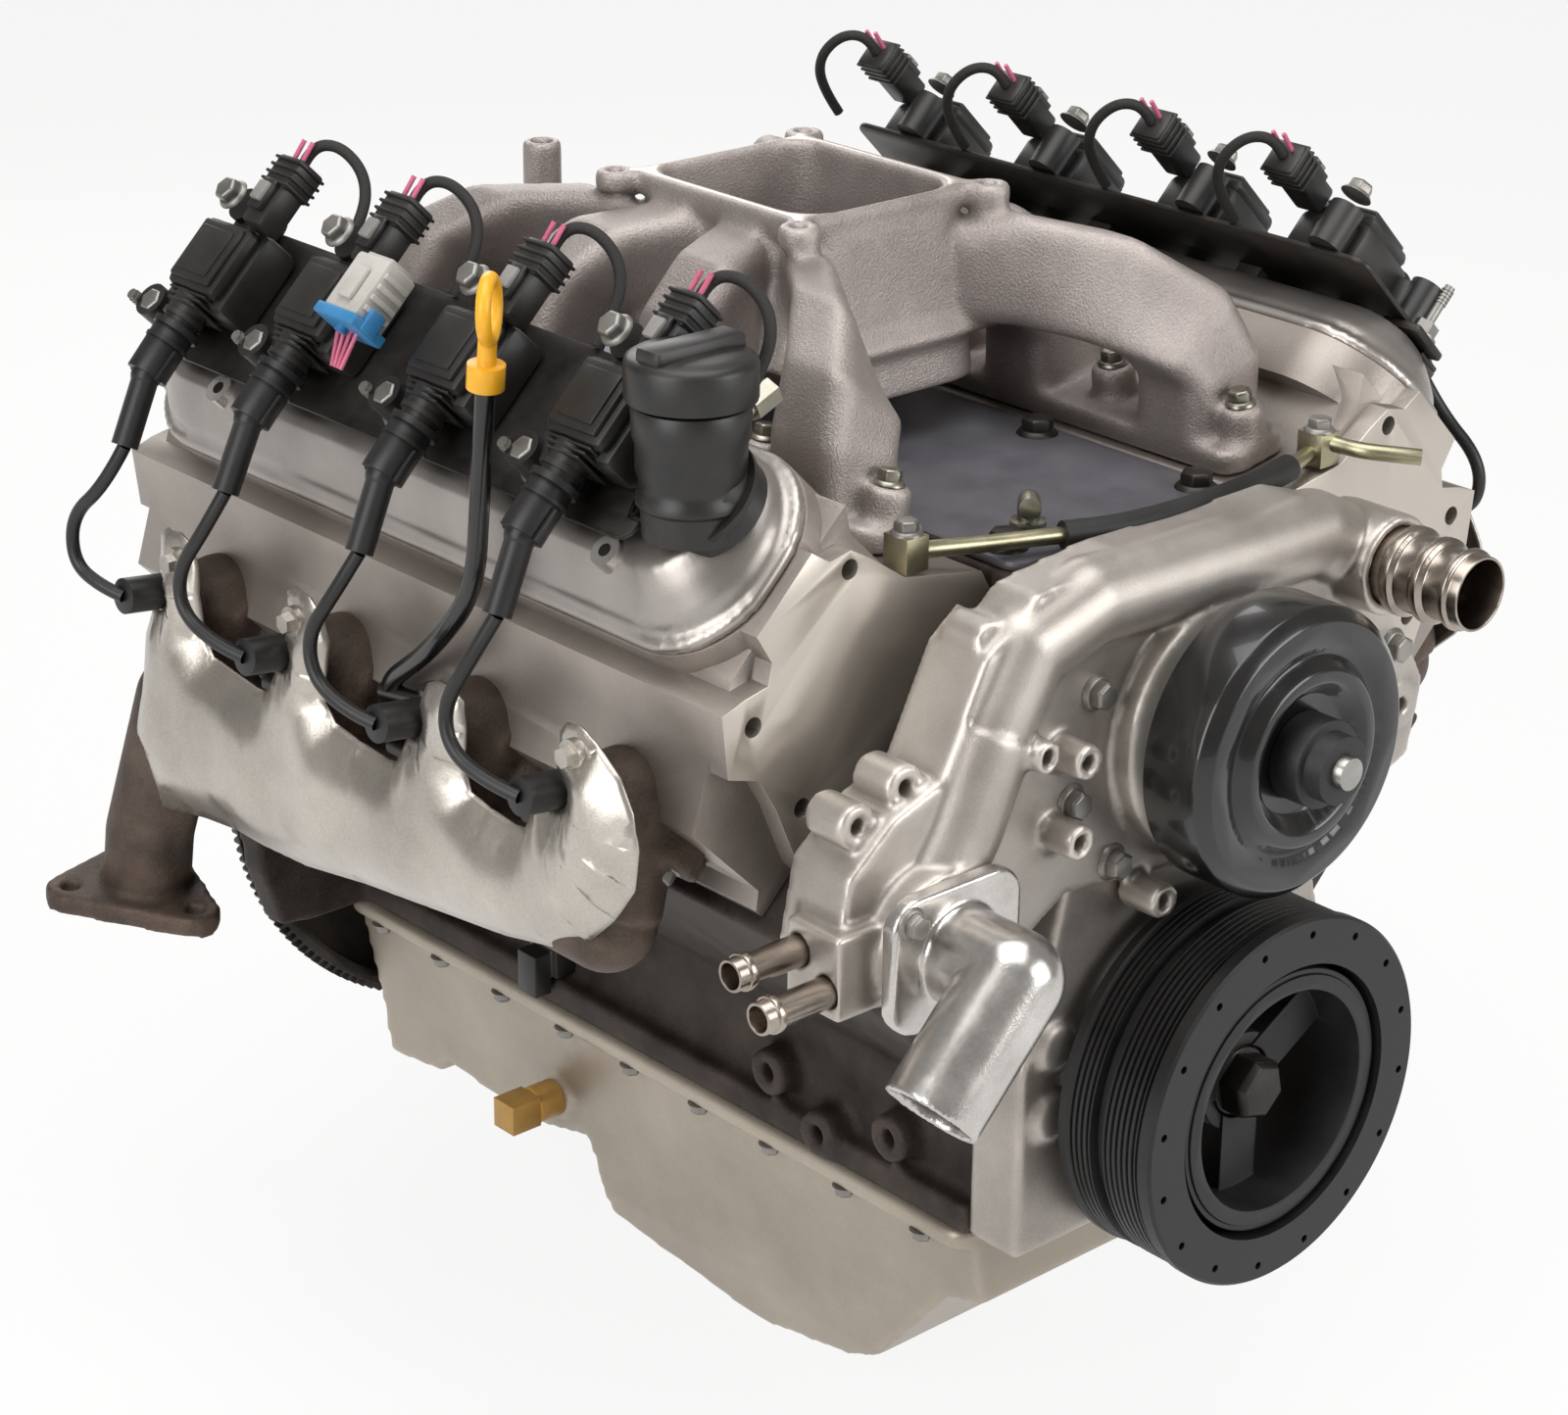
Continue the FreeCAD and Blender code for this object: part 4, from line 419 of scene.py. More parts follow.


# ---- Bolts: hexagon heads with a pressed flange, zinc plated or phosphated black.
# Each head has a chamfered crown and sits on its own washer face.
def flange_bolts(node, material, slot, flange=1.32):
    """Redraws each hexagon head of a node with a washer face and a chamfered crown."""
    source = bmesh.new()
    source.from_mesh(nodes[node].data)
    bmesh.ops.remove_doubles(source, verts=source.verts, dist=0.00001)
    heads = bmesh.new()
    middle = Vector((0, -0.27, 0.1))
    left = set(source.verts)
    while left:
        island = {left.pop()}
        front = set(island)
        while front:
            front = {e.other_vert(v) for v in front for e in v.link_edges} & left
            left -= front
            island |= front
        points = [v.co for v in island]
        centre = sum(points, Vector()) / len(points)
        faces = sorted({f for v in island for f in v.link_faces}, key=lambda f: f.index)
        areas = {}
        for face in faces:
            key = tuple(round(abs(c), 2) for c in face.normal)
            areas.setdefault(key, [0.0, face.normal.copy()])[0] += face.calc_area()
        axis = max(areas.values(), key=lambda entry: entry[0])[1].normalized()
        if axis.dot(centre - Vector((middle.x, centre.y if abs(axis.y) < 0.5 else middle.y,
                                     middle.z))) < 0:
            axis = -axis
        heights = [(p - centre).dot(axis) for p in points]
        low, high = min(heights), max(heights)
        reach = max(((p - centre) - axis * (p - centre).dot(axis)).length for p in points)
        corner = max(points, key=lambda p: ((p - centre) - axis * (p - centre).dot(axis)).length)
        flat = (corner - centre) - axis * (corner - centre).dot(axis)
        turn = Matrix((flat.normalized(), axis.cross(flat).normalized(), axis)).transposed()
        at = Matrix.Translation(centre) @ turn.to_4x4()
        tall = high - low
        bmesh.ops.create_cone(heads, cap_ends=True, segments=24, radius1=reach * flange,
                              radius2=reach * 1.05, depth=tall * 0.3,
                              matrix=at @ Matrix.Translation((0, 0, low + tall * 0.15)))
        bmesh.ops.create_cone(heads, cap_ends=True, segments=6, radius1=reach, radius2=reach,
                              depth=tall * 0.8, matrix=at @ Matrix.Translation(
                                  (0, 0, low + tall * 0.45)))
        bmesh.ops.create_cone(heads, cap_ends=True, segments=6, radius1=reach,
                              radius2=reach * 0.82, depth=tall * 0.15,
                              matrix=at @ Matrix.Translation((0, 0, low + tall * 0.925)))
    source.free()
    part = piece(node + "_heads", heads, material, slot, nodes[node]["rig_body"], node)
    edge = part.modifiers.new("edge", "BEVEL")
    edge.width = 0.0005
    edge.segments = 2
    edge.limit_method = "ANGLE"
    edge.angle_limit = math.radians(25)
    return crisp(part)


zinc_steel = finish("zinc_plated_steel", "b3b0a4", "868377", 1.0, 0.34, grit=0.0005, bump=0.1)
grey_zinc = finish("zinc_flake_steel", "a3a09b", "7b7873", 0.8, 0.42, grit=0.0005, bump=0.12)
flange_bolts("crank_bolt", dark_steel, "dark_steel", 1.2)
for bolts, material, slot in (
        ("flexplate_bolts", dark_steel, "dark_steel"),
        ("valve_cover_bolts", dark_steel, "dark_steel"),
        ("intake_bolts", zinc_steel, "zinc_steel"),
        ("valley_cover_bolts", dark_steel, "dark_steel"),
        ("vent_bolts", grey_zinc, "zinc_steel"),
        ("water_pump_bolts", grey_zinc, "zinc_steel"),
        ("oil_pan_bolts", grey_zinc, "dark_steel"),
        ("exhaust_bolts", grey_zinc, "dark_steel"),
        ("coil_bolts", grey_zinc, "zinc_steel")):
    flange_bolts(bolts, material, slot)

# ---- Front cover and rear seal cover: pressure die-cast aluminium, left bare.
# The skin is smooth with a fine mottle, and round lumps over the bolt bosses catch the light.
cast_aluminium = finish("die_cast_aluminium", "b9b2ab", "968f88", 0.74, 0.4, patch=0.08, grit=0.0009,
                        bump=0.25, hollow_shade=0.3)
cast_skin("front_cover", 0.0022, 5, cast_aluminium, "cast_aluminium")
coat_node("rear_seal_cover", cast_aluminium)
soften("rear_seal_cover", 0.001)

# ---- Cylinder heads: aluminium, semi-permanent mould, with milled ends, deck and port faces.
# The cast flanks are satin and slightly mottled; milled faces are brighter with open bolt holes.
head_gasket = finish("layered_steel_gasket", "5c5a57", "34322f", 0.5, 0.5, bump=0.1)
for side, front, rear in (("right", -0.5026, -0.0154), ("left", -0.5267, -0.0395)):
    head_metal = finish("mould_cast_head_alloy_" + side, "a79f98", "8b837d", 0.7, 0.4,
                        patch=0.12,
                        grit=0.0009, bump=0.3, hollow_shade=0.2, milled_hex="c6beb4",
                        milled=(("Y", "LESS_THAN", front), ("Y", "GREATER_THAN", rear)))
    coat_node("cylinder_head_" + side, head_metal)
    soften("cylinder_head_" + side, 0.0015)
coat_node("head_gaskets", head_gasket)

# ---- Rocker covers: satin die-cast aluminium lids with a stepped rim and a crowned top.
# The rim is a thick rolled edge, and a soft line of light runs along its whole length.
satin_aluminium = finish("satin_cast_aluminium", "b5afaa", "98928d", 0.84, 0.34, patch=0.1, grit=0.0007,
                         bump=0.15, hollow_shade=0.15)
for side in ("right", "left"):
    cast_skin("valve_cover_" + side, 0.0024, 6, satin_aluminium, "satin_aluminium")

# ---- Intake manifold: eight runners and an open plenum in one sand casting.
# Blasted after casting, it keeps a grey-brown speckle; the carburettor flange is milled flat.
sand_cast = finish("sand_cast_aluminium", "b3aaa6", "8a817d", 0.66, 0.43, patch=0.09,
                   grit=0.0013, bump=0.8, hollow_shade=0.35, milled_hex="bdb4aa",
                   milled=(("Z", "GREATER_THAN", 0.39315),))


def plenum_skirt(shape):
    """The flare under the flange, where the plenum walls spread into the runners."""
    middle = Vector((0, -0.2727, 0))
    flare = [(0.118, 0.318), (0.094, 0.345), (0.080, 0.366), (0.074, 0.384)]
    for (wide, low), (narrow, high) in zip(flare, flare[1:]):
        bmesh.ops.create_cone(shape, cap_ends=True, segments=4, radius1=wide, radius2=narrow,
                              depth=high - low, matrix=Matrix.Translation(
                                  middle + Vector((0, 0, (low + high) / 2))) @
                              Matrix.Rotation(math.radians(45), 4, "Z"))


intake_skin = cast_skin("intake_manifold", 0.0021, 7, sand_cast, "sand_cast_aluminium",
                        plenum_skirt)
well = bmesh.new()
bmesh.ops.create_cube(well, size=1.0, matrix=Matrix.Translation((0, -0.2727, 0.3525)) @
                      Matrix.Diagonal((0.104, 0.124, 0.105, 1)))
corners = [e for e in well.edges if abs(e.verts[0].co.z - e.verts[1].co.z) > 0.01]
bmesh.ops.bevel(well, geom=corners, offset=0.02, affect="EDGES", segments=5, profile=0.5,
                material=-1)
carve(intake_skin, well)
crisp(intake_skin, 40)
nipple = bmesh.new()
rod(nipple, (-0.150, -0.420, 0.3440), (-0.164, -0.420, 0.3380), 0.0075, 6)
rod(nipple, (-0.160, -0.420, 0.3400), (-0.180, -0.420, 0.3310), 0.0048, 24)
rod(nipple, (-0.174, -0.420, 0.3338), (-0.177, -0.420, 0.3324), 0.0060, 24)
crisp(piece("intake_vacuum_nipple", nipple, zinc_steel, "zinc_steel", "engine"))

# ---- Valley cover and its nipple: a thick coated plate on a gasket, with a bent zinc nipple.
# The coating is an even mid grey with a soft sheen.
grey_plate = finish("grey_coated_steel", "66656a", "55545a", 0.3, 0.42, grit=0.0008, bump=0.15)
coat_node("valley_cover", grey_plate)
soften("valley_cover", 0.002)
coat_node("valley_nipple", zinc_steel)
soften("valley_nipple", 0.0004)

# ---- Coolant vent: a thin zinc pipe in two clamp blocks, joined by a short rubber hose.
# The plating has a faint yellow passivation.
yellow_zinc = finish("yellow_passivated_zinc", "bdb89c", "989378", 1.0, 0.36, grit=0.0006, bump=0.1)
coat_node("coolant_vent_pipes", yellow_zinc)
soften("coolant_vent_pipes", 0.0006)
coat_node("coolant_vent_hose", black_rubber)

# ---- Water pump: a bright die-cast housing with hose ends of beaded stainless tube.
# The thermostat elbow is polished; the pulley is a gloss black pressing with a threaded hub.
pump_metal = finish("bright_die_cast_aluminium", "c3bdb6", "a29b94", 0.75, 0.38, patch=0.07, grit=0.0009,
                    bump=0.25, hollow_shade=0.35)
cast_skin("water_pump_housing", 0.0021, 4, pump_metal, "cast_aluminium")
stainless = finish("spun_stainless_steel", "b7aca2", "90877e", 1.0, 0.26, grit=0.0006, bump=0.08)
for pipe in ("heater_pipes", "water_outlet_pipe"):
    coat_node(pipe, stainless)
    soften(pipe, 0.0006)
polished = finish("polished_cast_aluminium", "d8d5d1", "b3afaa", 0.92, 0.22, grit=0.001, bump=0.15)
cast_skin("thermostat_elbow", 0.0016, 5, polished, "polished_aluminium")
gloss_black = finish("gloss_black_enamel", "1b1a1a", "0d0c0c", 0.0, 0.25, grit=0.001, bump=0.06,
                     uneven=0.05, coat=0.4)
coat_node("water_pump_pulley", gloss_black)
soften("water_pump_pulley", 0.001)
coat_node("fan_hub", black_iron)
soften("fan_hub", 0.0006)

# ---- Oil pan: a deep die-cast aluminium sump, left bare, with a beige cast.
# Its flange is stepped and bolted all round; the sides are plain with shallow draft ribs.
beige_aluminium = finish("die_cast_aluminium_pan", "b7ad9f", "9a9084", 0.6, 0.42, patch=0.12, grit=0.001,
                         bump=0.35, hollow_shade=0.2)
cast_skin("oil_pan", 0.0027, 4, beige_aluminium, "beige_cast_aluminium")
amber_plastic = finish("glass_filled_amber_nylon", "c79c50", "a67e3b", 0.0, 0.42, bump=0.1)
black_plastic = finish("glass_filled_black_nylon", "2b2928", "171615", 0.0, 0.4, grit=0.0006,
                       bump=0.15)
coat_node("oil_level_sensor", amber_plastic)
soften("oil_level_sensor", 0.0012)
coat_node("crank_position_sensor", black_plastic)
soften("crank_position_sensor", 0.0012)

# ---- Exhaust manifolds: thin-wall cast iron logs, browned by heat, with a rough sand skin.
# A pressed aluminised sheet is bolted over each at the tips of its lobes.
brown_iron = finish("heat_browned_cast_iron", "65564c", "342a24", 0.45, 0.55, grit=0.0013, bump=0.7,
                    hollow_shade=0.3)
cylinder_rows = [-0.0904 - 0.11176 * i for i in range(4)]


def port_humps(sign, shift):
    """The runners' high bends, one over each port, that show above the sheet."""
    def add_humps(shape):
        for row in cylinder_rows:
            y = row + shift
            flange = Vector((sign * 0.2420, y - 0.004, 0.155))
            top = Vector((sign * 0.2560, y - 0.013, 0.170))
            low = Vector((sign * 0.2690, y - 0.018, 0.118))
            rod(shape, flange, top, 0.0270, 32)
            rod(shape, top, low, 0.0265, 32, 0.0240)
            bmesh.ops.create_uvsphere(shape, u_segments=32, v_segments=16, radius=0.0272,
                                      matrix=Matrix.Translation(top))
            rod(shape, top - Vector((0, 0.0285, 0)), top - Vector((0, -0.0285, 0)), 0.0080, 16)
            for dy in (-0.036, 0.036):
                lug = Vector((sign * 0.2450, y + dy, 0.150))
                rod(shape, lug - Vector((sign * 0.006, 0, -0.006)),
                    lug + Vector((sign * 0.006, 0, -0.006)), 0.0135, 24)
    return add_humps


for side, sign, shift in (("right", -1, 0.0), ("left", 1, -0.0241)):
    cast_skin("exhaust_manifold_" + side, 0.0024, 4, brown_iron, "brown_cast_iron",
              port_humps(sign, shift))

# ---- Heat shields: thin aluminised steel, pressed over the manifold and bolted at its lobes.
# The sheet swells out between its edges, dips round each bolt and has a satin metallic sheen.
shield_steel = finish("aluminised_steel_sheet", "cfc9c0", "a8a29a", 0.9, 0.33, patch=0.08,
                      grit=0.0014, bump=0.12, uneven=0.06)


def formed_sheet(side, shift):
    """The node's own outline, gridded and pressed outwards, with a dish at each bolt."""
    sign = -1 if side == "right" else 1
    shape = bmesh.new()
    shape.from_mesh(nodes["heat_shield_" + side].data)
    bmesh.ops.remove_doubles(shape, verts=shape.verts, dist=0.00001)
    unseen = [f for f in shape.faces if f.normal.x * sign < 0.2
              or abs(f.calc_center_median().x) < 0.2885]
    bmesh.ops.delete(shape, geom=unseen, context="FACES")
    for v in shape.verts:
        v.co.x = 0.29 * sign
    bmesh.ops.remove_doubles(shape, verts=shape.verts, dist=0.0002)
    bmesh.ops.dissolve_limit(shape, angle_limit=0.02, verts=shape.verts, edges=shape.edges)
    bmesh.ops.triangulate(shape, faces=shape.faces)
    for length in (0.05, 0.025, 0.0125, 0.0065):
        for _ in range(3):
            long = [e for e in shape.edges if e.calc_length() > length]
            if not long:
                break
            bmesh.ops.subdivide_edges(shape, edges=long, cuts=1)
            bmesh.ops.triangulate(shape, faces=shape.faces)
            bmesh.ops.beautify_fill(shape, faces=shape.faces, edges=shape.edges)
    rim = KDTree(sum(v.is_boundary for v in shape.verts))
    for v in shape.verts:
        if v.is_boundary:
            rim.insert(v.co, v.index)
    rim.balance()
    bolts = [(y + shift, z) for y, z in ((-0.117, 0.206), (-0.223, 0.205), (-0.445, 0.206))]
    for v in shape.verts:
        depth = min(rim.find(v.co)[2] / 0.026, 1.0)
        swell = 0.013 * math.sin(depth * math.pi / 2)
        belly = 0.004 * math.exp(-((v.co.z - 0.105) / 0.03) ** 2)
        wave = 0.0012 * math.sin(v.co.y * 95) * depth
        near = min(math.hypot(v.co.y - y, v.co.z - z) for y, z in bolts)
        dish = 0.009 * (1 - min(near / 0.017, 1.0) ** 2) ** 2
        v.co.x = sign * (0.2865 + swell + belly * depth + wave - dish * depth ** 0.5)
    bmesh.ops.smooth_vert(shape, verts=shape.verts, factor=0.5, use_axis_x=True)
    bmesh.ops.recalc_face_normals(shape, faces=shape.faces)
    sheet = piece("heat_shield_sheet_" + side, shape, shield_steel, "aluminised_steel", "engine",
                  "heat_shield_" + side)
    wall = sheet.modifiers.new("wall", "SOLIDIFY")
    wall.thickness = 0.0015
    wall.offset = 0
    heads = bmesh.new()
    for y, z in bolts:
        face = Vector((sign * 0.2935, y, z))
        rod(heads, face - Vector((sign * 0.006, 0, 0)), face, 0.0078, 24)
        rod(heads, face, face + Vector((sign * 0.005, 0, 0)), 0.0058, 6, 0.0052)
    crisp(piece("heat_shield_bolts_" + side, heads, shield_steel, "aluminised_steel", "engine"))


formed_sheet("right", 0.0)
formed_sheet("left", -0.0241)

# ---- Plug wires: eight silicone leads, seven millimetres thick, that drop from the boots.
# Each hangs free in a loose bow and turns under into its plug boot.
silicone = finish("black_silicone_rubber", "232222", "141313", 0.0, 0.42, grit=0.0008, bump=0.1)


def cord_curve(name, points, thickness, material):
    """A free cord: one open spline through given points, round in section."""
    line = bpy.data.curves.new(name, "CURVE")
    line.dimensions = "3D"
    line.bevel_depth = thickness / 2
    line.bevel_resolution = 4
    line.resolution_u = 16
    spline = line.splines.new("NURBS")
    spline.points.add(len(points) - 1)
    for knot, point in zip(spline.points, points):
        knot.co = (*point, 1)
    spline.order_u = 3
    spline.use_endpoint_u = True
    line.materials.append(material)
    cord = bpy.data.objects.new(name, line)
    bpy.context.collection.objects.link(cord)
    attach(cord, "engine")
    return cord


def turned_round(point):
    """The matching place on the left bank: half a turn about a vertical line."""
    return (-point[0], -0.5401 - point[1], point[2])


wire_routes = (
    (0.1212, ((-0.3041, -0.0950, 0.2659), (-0.3130, -0.0880, 0.2450), (-0.3170, -0.0600, 0.2220),
              (-0.3180, -0.0600, 0.1960), (-0.3140, -0.0800, 0.1870), (-0.3077, -0.0904, 0.1834))),
    (0.1217, ((-0.3041, -0.1870, 0.2659), (-0.3130, -0.1800, 0.2460), (-0.3170, -0.1600, 0.2200),
              (-0.3180, -0.1630, 0.1980), (-0.3140, -0.1880, 0.1870), (-0.3077, -0.2022, 0.1834))),
    (0.1189, ((-0.3041, -0.3000, 0.2659), (-0.3130, -0.2920, 0.2460), (-0.3170, -0.2730, 0.2200),
              (-0.3180, -0.2780, 0.1980), (-0.3140, -0.3010, 0.1870), (-0.3077, -0.3139, 0.1834))),
    (0.1209, ((-0.3041, -0.4070, 0.2659), (-0.3130, -0.3980, 0.2440), (-0.3170, -0.3810, 0.2160),
              (-0.3180, -0.3880, 0.1960), (-0.3140, -0.4120, 0.1870), (-0.3077, -0.4257, 0.1834))))
for i, (length, points) in enumerate(wire_routes, 1):
    for side, route in (("right", points), ("left", [turned_round(p) for p in points])):
        wire = cord_curve(f"plug_wire_{side}_{i}", route, 0.0072, silicone)
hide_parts("plug_wires")

# ---- Coil leads: taped two-core looms from each coil's connector down behind its bracket.
# The tape is matt black with a spiral edge; two bare cores show pink and red at the connector.
loom_tape = finish("cloth_loom_tape", "2a2827", "171616", 0.0, 0.7, grit=0.0012, bump=0.5)
lead_points = ((-0.2022, -0.1170, 0.4002), (-0.1966, -0.1180, 0.4101), (-0.1874, -0.1300, 0.4108),
               (-0.1817, -0.1430, 0.3967), (-0.1881, -0.1490, 0.3776), (-0.2012, -0.1470, 0.3596))
coil_steps = (0.0, -0.094, -0.205, -0.312)
for i, step in enumerate(coil_steps, 1):
    points = [(x, y + step, z) for x, y, z in lead_points]
    for side, route in (("right", points), ("left", [turned_round(p) for p in points])):
        lead = cord_curve(f"coil_lead_{side}_{i}", route, 0.006, loom_tape)
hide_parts("coil_leads")

# ---- Coils: eight potted ignition coils in black nylon on a stamped steel bracket per bank.
# Each has a two-tier body with a seamed lid, a ribbed connector with a grey latch, and a tower.
half_turn = Matrix.Translation((0, -0.5401, 0)) @ Matrix.Rotation(math.pi, 4, "Z")
slope = math.sqrt(0.5)
right_bank = Matrix(((-slope, 0, -slope, 0), (0, 1, 0, 0), (-slope, 0, slope, 0), (0, 0, 0, 1)))
bank_frames = {"right": right_bank, "left": half_turn @ right_bank}
coil_rows = (-93, -187, -298, -405)


def block(shape, frame_, low, high, ease=0.002):
    """A box between two corners in millimetres, in a bank's own directions, with eased edges."""
    size = [(b - a) / 1000 for a, b in zip(low, high)]
    middle = [(a + b) / 2000 for a, b in zip(low, high)]
    made = bmesh.ops.create_cube(shape, size=1.0)["verts"]
    edges = list({e for v in made for e in v.link_edges})
    bmesh.ops.transform(shape, verts=made, matrix=frame_ @ Matrix.Translation(middle) @
                        Matrix.Diagonal((*size, 1)))
    if ease:
        bmesh.ops.bevel(shape, geom=edges, offset=ease, affect="EDGES", segments=2, profile=0.5,
                        material=-1)


def bar(shape, frame_, start, end, radius, sides=24, far_radius=None):
    """A round bar between two points in millimetres, in a bank's own directions."""
    rod(shape, frame_ @ (Vector(start) / 1000), frame_ @ (Vector(end) / 1000), radius / 1000,
        sides, None if far_radius is None else far_radius / 1000)


def ready(name, shape, material, slot, *replaced, body="engine"):
    """Turns all faces outwards, then makes the piece with crisp edges."""
    bmesh.ops.recalc_face_normals(shape, faces=shape.faces)
    return crisp(piece(name, shape, material, slot, body, *replaced))


latch_grey = finish("grey_nylon_latch", "8f8c88", "767370", 0.0, 0.45, bump=0.06)
core_pink = finish("pink_core_sleeve", "d2708e", "b95674", 0.0, 0.4, bump=0.05)
for side, place in bank_frames.items():
    bodies, latches, cores = bmesh.new(), bmesh.new(), bmesh.new()
    for y in coil_rows:
        block(bodies, place, (-101, y - 28, 395.2), (-52, y + 20, 421), 0.005)
        block(bodies, place, (-98, y - 25, 419), (-56, y + 17, 429), 0.0045)
        block(bodies, place, (-95, y - 21, 428), (-60, y + 13, 431.5), 0.0015)
        block(bodies, place, (-91, y - 17, 430), (-64, y + 9, 433), 0.001)
        for rib in range(3):
            block(bodies, place, (-56 + 3 * rib, y - 20 + 2 * rib, 403), (-54.6 + 3 * rib,
                  y + 12 - 2 * rib, 427), 0.0005)
        bar(bodies, place, (-56, y, 416), (-39, y, 416), 11.5, far_radius=9.5)
        bar(bodies, place, (-45, y, 416), (-42, y, 416), 11.5)
        block(bodies, place, (-126, y - 33, 418), (-99, y - 15, 434), 0.003)
        block(bodies, place, (-140, y - 34, 417), (-122, y - 14, 435), 0.002)
        for rib in range(4):
            block(bodies, place, (-138 + 4.4 * rib, y - 35, 416.4),
                  (-136.4 + 4.4 * rib, y - 13, 436), 0.0004)
        block(bodies, place, (-124, y - 29, 434), (-106, y - 19, 438), 0.001)
        block(latches, place, (-121, y - 28, 437), (-110, y - 20, 440.5), 0.001)
        for s, dy in ((-112, 9), (-46, 29)):
            bar(bodies, place, (s, y + dy, 395.2), (s, y + dy, 420), 9.5)
        block(bodies, place, (-60, y + 10, 396), (-44, y + 28, 416), 0.003)
        block(bodies, place, (-116, y - 2, 396), (-98, y + 14, 416), 0.003)
        for dy in (-27.5, -20.5):
            bar(cores, place, (-138, y + dy, 430), (-151, y + dy * 1.06, 432.5), 1.3, 10)
    ready("coil_bodies_" + side, bodies, black_plastic, "black_plastic", "ignition_coils_" + side)
    ready("coil_latches_" + side, latches, latch_grey, "black_plastic")
    ready("coil_lead_cores_" + side, cores, core_pink, "black_plastic")
    coat_node("coil_bracket_" + side, dark_steel)
    soften("coil_bracket_" + side, 0.0008)
    tabs = bmesh.new()
    nuts = bmesh.new()
    for k, y in enumerate((coil_rows[0] + 40, coil_rows[1] + 38, coil_rows[2] + 40,
                           coil_rows[3] + 38)):
        bar(nuts, place, (-44, y, 392), (-44, y, 424), 2.9, 16)
        for turn in range(5):
            bar(nuts, place, (-44, y, 413 + 2 * turn), (-44, y, 414 + 2 * turn), 3.4, 16)
        bar(nuts, place, (-44, y, 392), (-44, y, 400), 7.2, 6)
        bar(nuts, place, (-44, y, 391), (-44, y, 393), 9.0, 24)
        block(tabs, place, (-62, y - 14, 386), (-32, y + 11, 391), 0.0015)
        block(tabs, place, (-42, y - 9, 383), (-24, y + 6, 386), 0.001)
    ready("coil_bracket_tabs_" + side, tabs, dark_steel, "dark_steel")
    ready("coil_bracket_studs_" + side, nuts, grey_zinc, "zinc_steel")

# ---- Cover standoffs: two milled bosses with blind threaded holes on each rocker cover.
# Their bright ends stand just proud of the satin lid; a dark disc on each end is painted shade standing
# in for the hole's dark inside.
milled_end = finish("milled_aluminium", "dedad5", "c9c4be", 0.75, 0.28, bump=0.05)
painted_hole_shade = finish("shade_in_threaded_hole", "2a2725", "1a1817", 0.4, 0.5, bump=0.3)
for side, place in bank_frames.items():
    ends, holes = bmesh.new(), bmesh.new()
    for y in (-110, -425):
        bar(ends, place, (-25, y, 376), (-25, y, 386.5), 8, 32)
        # Painted shade: a dark disc just proud of each milled end stands for the inside of the hole,
        # which is not cut.
        bar(holes, place, (-25, y, 380), (-25, y, 386.7), 3.4, 24)
    ready("cover_standoffs_" + side, ends, milled_end, "satin_aluminium")
    ready("cover_standoff_hole_shade_" + side, holes, painted_hole_shade, "satin_aluminium")

# ---- Harness plug: a pale grey nylon connector parked on the right bank's bracket.
# A blue lock closes it, and four coloured cores run a short way into the black loom.
pale_nylon = finish("pale_grey_nylon", "bcb9b3", "a5a29c", 0.0, 0.45, bump=0.06)
blue_nylon = finish("blue_nylon_lock", "3d86bb", "2f6f9f", 0.0, 0.4, bump=0.05)
place = bank_frames["right"]
plug, lock, cores = bmesh.new(), bmesh.new(), bmesh.new()
block(plug, place, (-98, -262, 434), (-66, -236, 455), 0.002)
block(plug, place, (-100, -259, 437), (-94, -239, 452), 0.001)
for rib in range(4):
    block(plug, place, (-92 + 6 * rib, -263.5, 436), (-89 + 6 * rib, -234.5, 453), 0.0006)
block(plug, place, (-90, -254, 455), (-72, -244, 458), 0.001)
block(lock, place, (-67, -265, 433), (-61, -233, 456), 0.001)
block(lock, place, (-74, -266, 440), (-62, -262, 450), 0.0008)
for k in range(4):
    bar(cores, place, (-62, -256 + 5 * k, 443), (-44, -252 + 2.4 * k, 436), 1.2, 10)
bar(lock, place, (-62, -249, 447), (-58, -249, 447), 3, 12)
ready("harness_plug", plug, pale_nylon, "black_plastic")
ready("harness_plug_lock", lock, blue_nylon, "black_plastic")
ready("harness_plug_cores", cores, core_pink, "black_plastic")

# ---- Plugs and boots: zinc plated shells, with moulded rubber boots at both wire ends.
# Each upper boot has a thick grip over the coil tower and beads where the mould parts.
coat_node("spark_plugs", zinc_steel)
coat_node("plug_boots", silicone)
soften("plug_boots", 0.0012)
grips = bmesh.new()
for place in bank_frames.values():
    for y in coil_rows:
        bar(grips, place, (-38.5, y, 416), (-35, y, 416), 13.0, 28, 12.6)
        bar(grips, place, (-29, y, 416), (-27, y, 416), 12.0, 28)
        for k in range(4):
            block(grips, place, (-26, y - 13 + 7.4 * k, 414), (-8, y - 10 + 7.4 * k, 418), 0.0008)
ready("boot_grips", grips, silicone, "black_rubber")

# ---- Oil filler: a black nylon neck and a quarter-turn cap with a bar grip, left plain.
# The neck swells towards the cap and leans out of the cover through a rubber-edged flange.
cap_low, cap_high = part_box("oil_fill_cap")
cap_x = (cap_low.x + cap_high.x) * 500
cap_y = (cap_low.y + cap_high.y) * 500


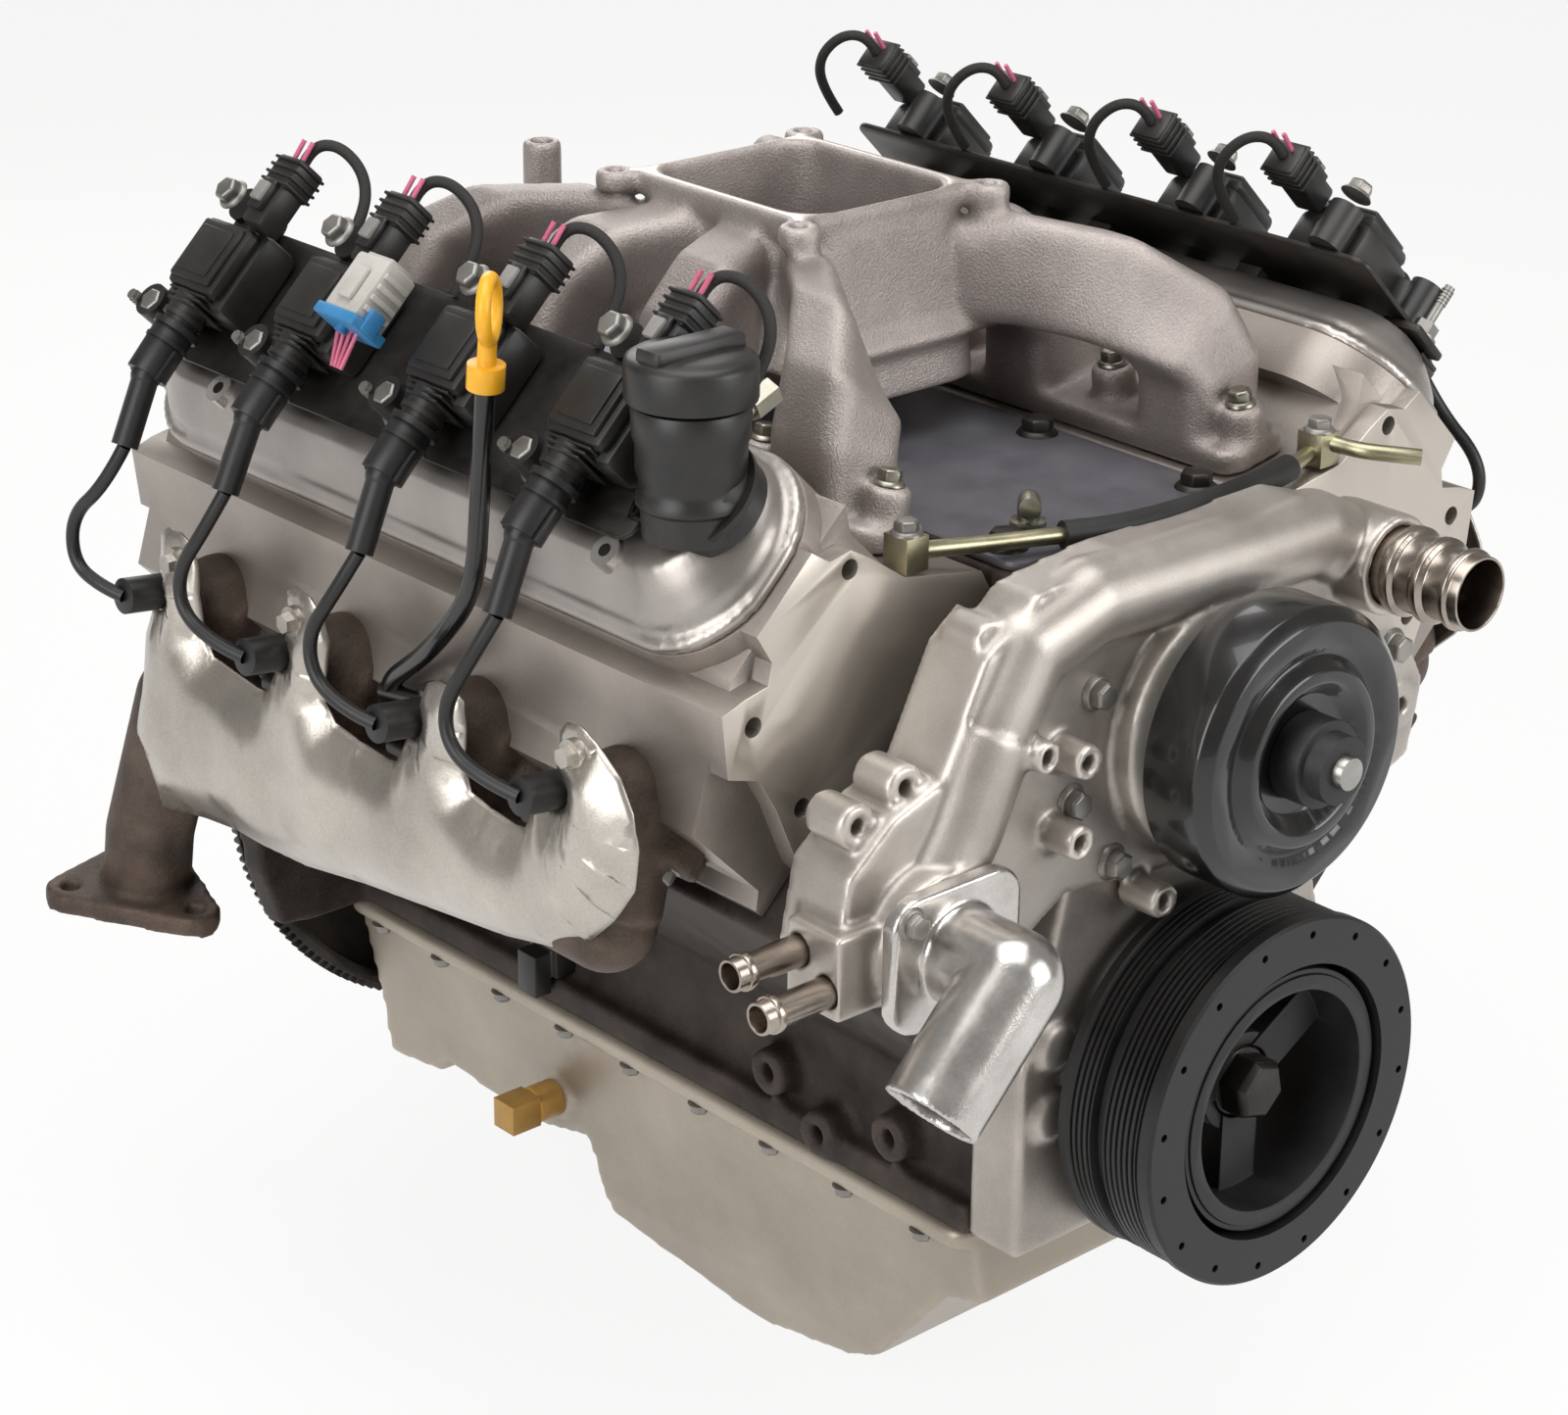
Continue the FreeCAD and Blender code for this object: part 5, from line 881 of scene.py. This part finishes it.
def upright(name, profile, x, y, material, slot, body, *replaced):
    """A lathe-turned piece about a vertical axis, from (radius, z) points in millimetres."""
    shape = bmesh.new()
    axis = Vector((x / 1000, y / 1000, 0))
    points = [shape.verts.new((axis.x + r / 1000, axis.y, z / 1000)) for r, z in profile]
    edges = [shape.edges.new(pair) for pair in zip(points, points[1:])]
    bmesh.ops.spin(shape, geom=points + edges, cent=axis, axis=(0, 0, 1), angle=math.tau,
                   steps=64, use_merge=True)
    bmesh.ops.remove_doubles(shape, verts=shape.verts, dist=0.00001)
    bmesh.ops.recalc_face_normals(shape, faces=shape.faces)
    return crisp(piece(name, shape, material, slot, body, *replaced), 40)


upright("filler_neck", [(0, 366), (26.5, 366), (27.5, 364), (27.0, 352), (25.5, 348), (25.5, 336),
                        (24, 331), (24, 326), (25.5, 324), (25.5, 320), (23.5, 318), (22.5, 304),
                        (0, 300)],
        cap_x, cap_y, black_plastic, "black_plastic", "engine", "oil_fill_neck")
foot = bmesh.new()
bar(foot, bank_frames["right"], (-66, cap_y, 377), (-66, cap_y, 399), 27, 48, 24)
bar(foot, bank_frames["right"], (-66, cap_y, 388), (-66, cap_y, 391), 29, 48)
ready("filler_foot", foot, black_plastic, "black_plastic")
upright("filler_cap_shell", [(0, 368.5), (30.0, 368.5), (30.5, 370), (30.5, 385), (29.6, 387.5),
                             (27, 389.2), (20, 390.4), (10, 391), (0, 391.2)],
        cap_x, cap_y, black_plastic, "black_plastic", "oil_cap", "oil_fill_cap")
grip = bmesh.new()
flat = Matrix.Translation((cap_x / 1000, cap_y / 1000, 0))
block(grip, flat, (-26.5, -8.5, 386), (26.5, 8.5, 396.2), 0.0035)
ready("filler_cap_grip", grip, black_plastic, "black_plastic", body="oil_cap")

# ---- Dipstick: a yellow ring on a stopper, in a gloss black steel tube strapped to the head.
# The ring is a flat moulded band; the stopper under it has a wide collar.
yellow_plastic = finish("moulded_yellow_nylon", "f4b830", "e5a31b", 0.0, 0.34, bump=0.08)
coat_node("dipstick", yellow_plastic)
soften("dipstick", 0.0006)
coat_node("dipstick_tube", gloss_black)
strap = bmesh.new()
rod(strap, (-0.269, -0.266, 0.176), (-0.262, -0.302, 0.178), 0.0045, 16)
rod(strap, (-0.262, -0.300, 0.170), (-0.262, -0.300, 0.186), 0.0085, 24)
ready("dipstick_strap", strap, gloss_black, "gloss_black_paint")
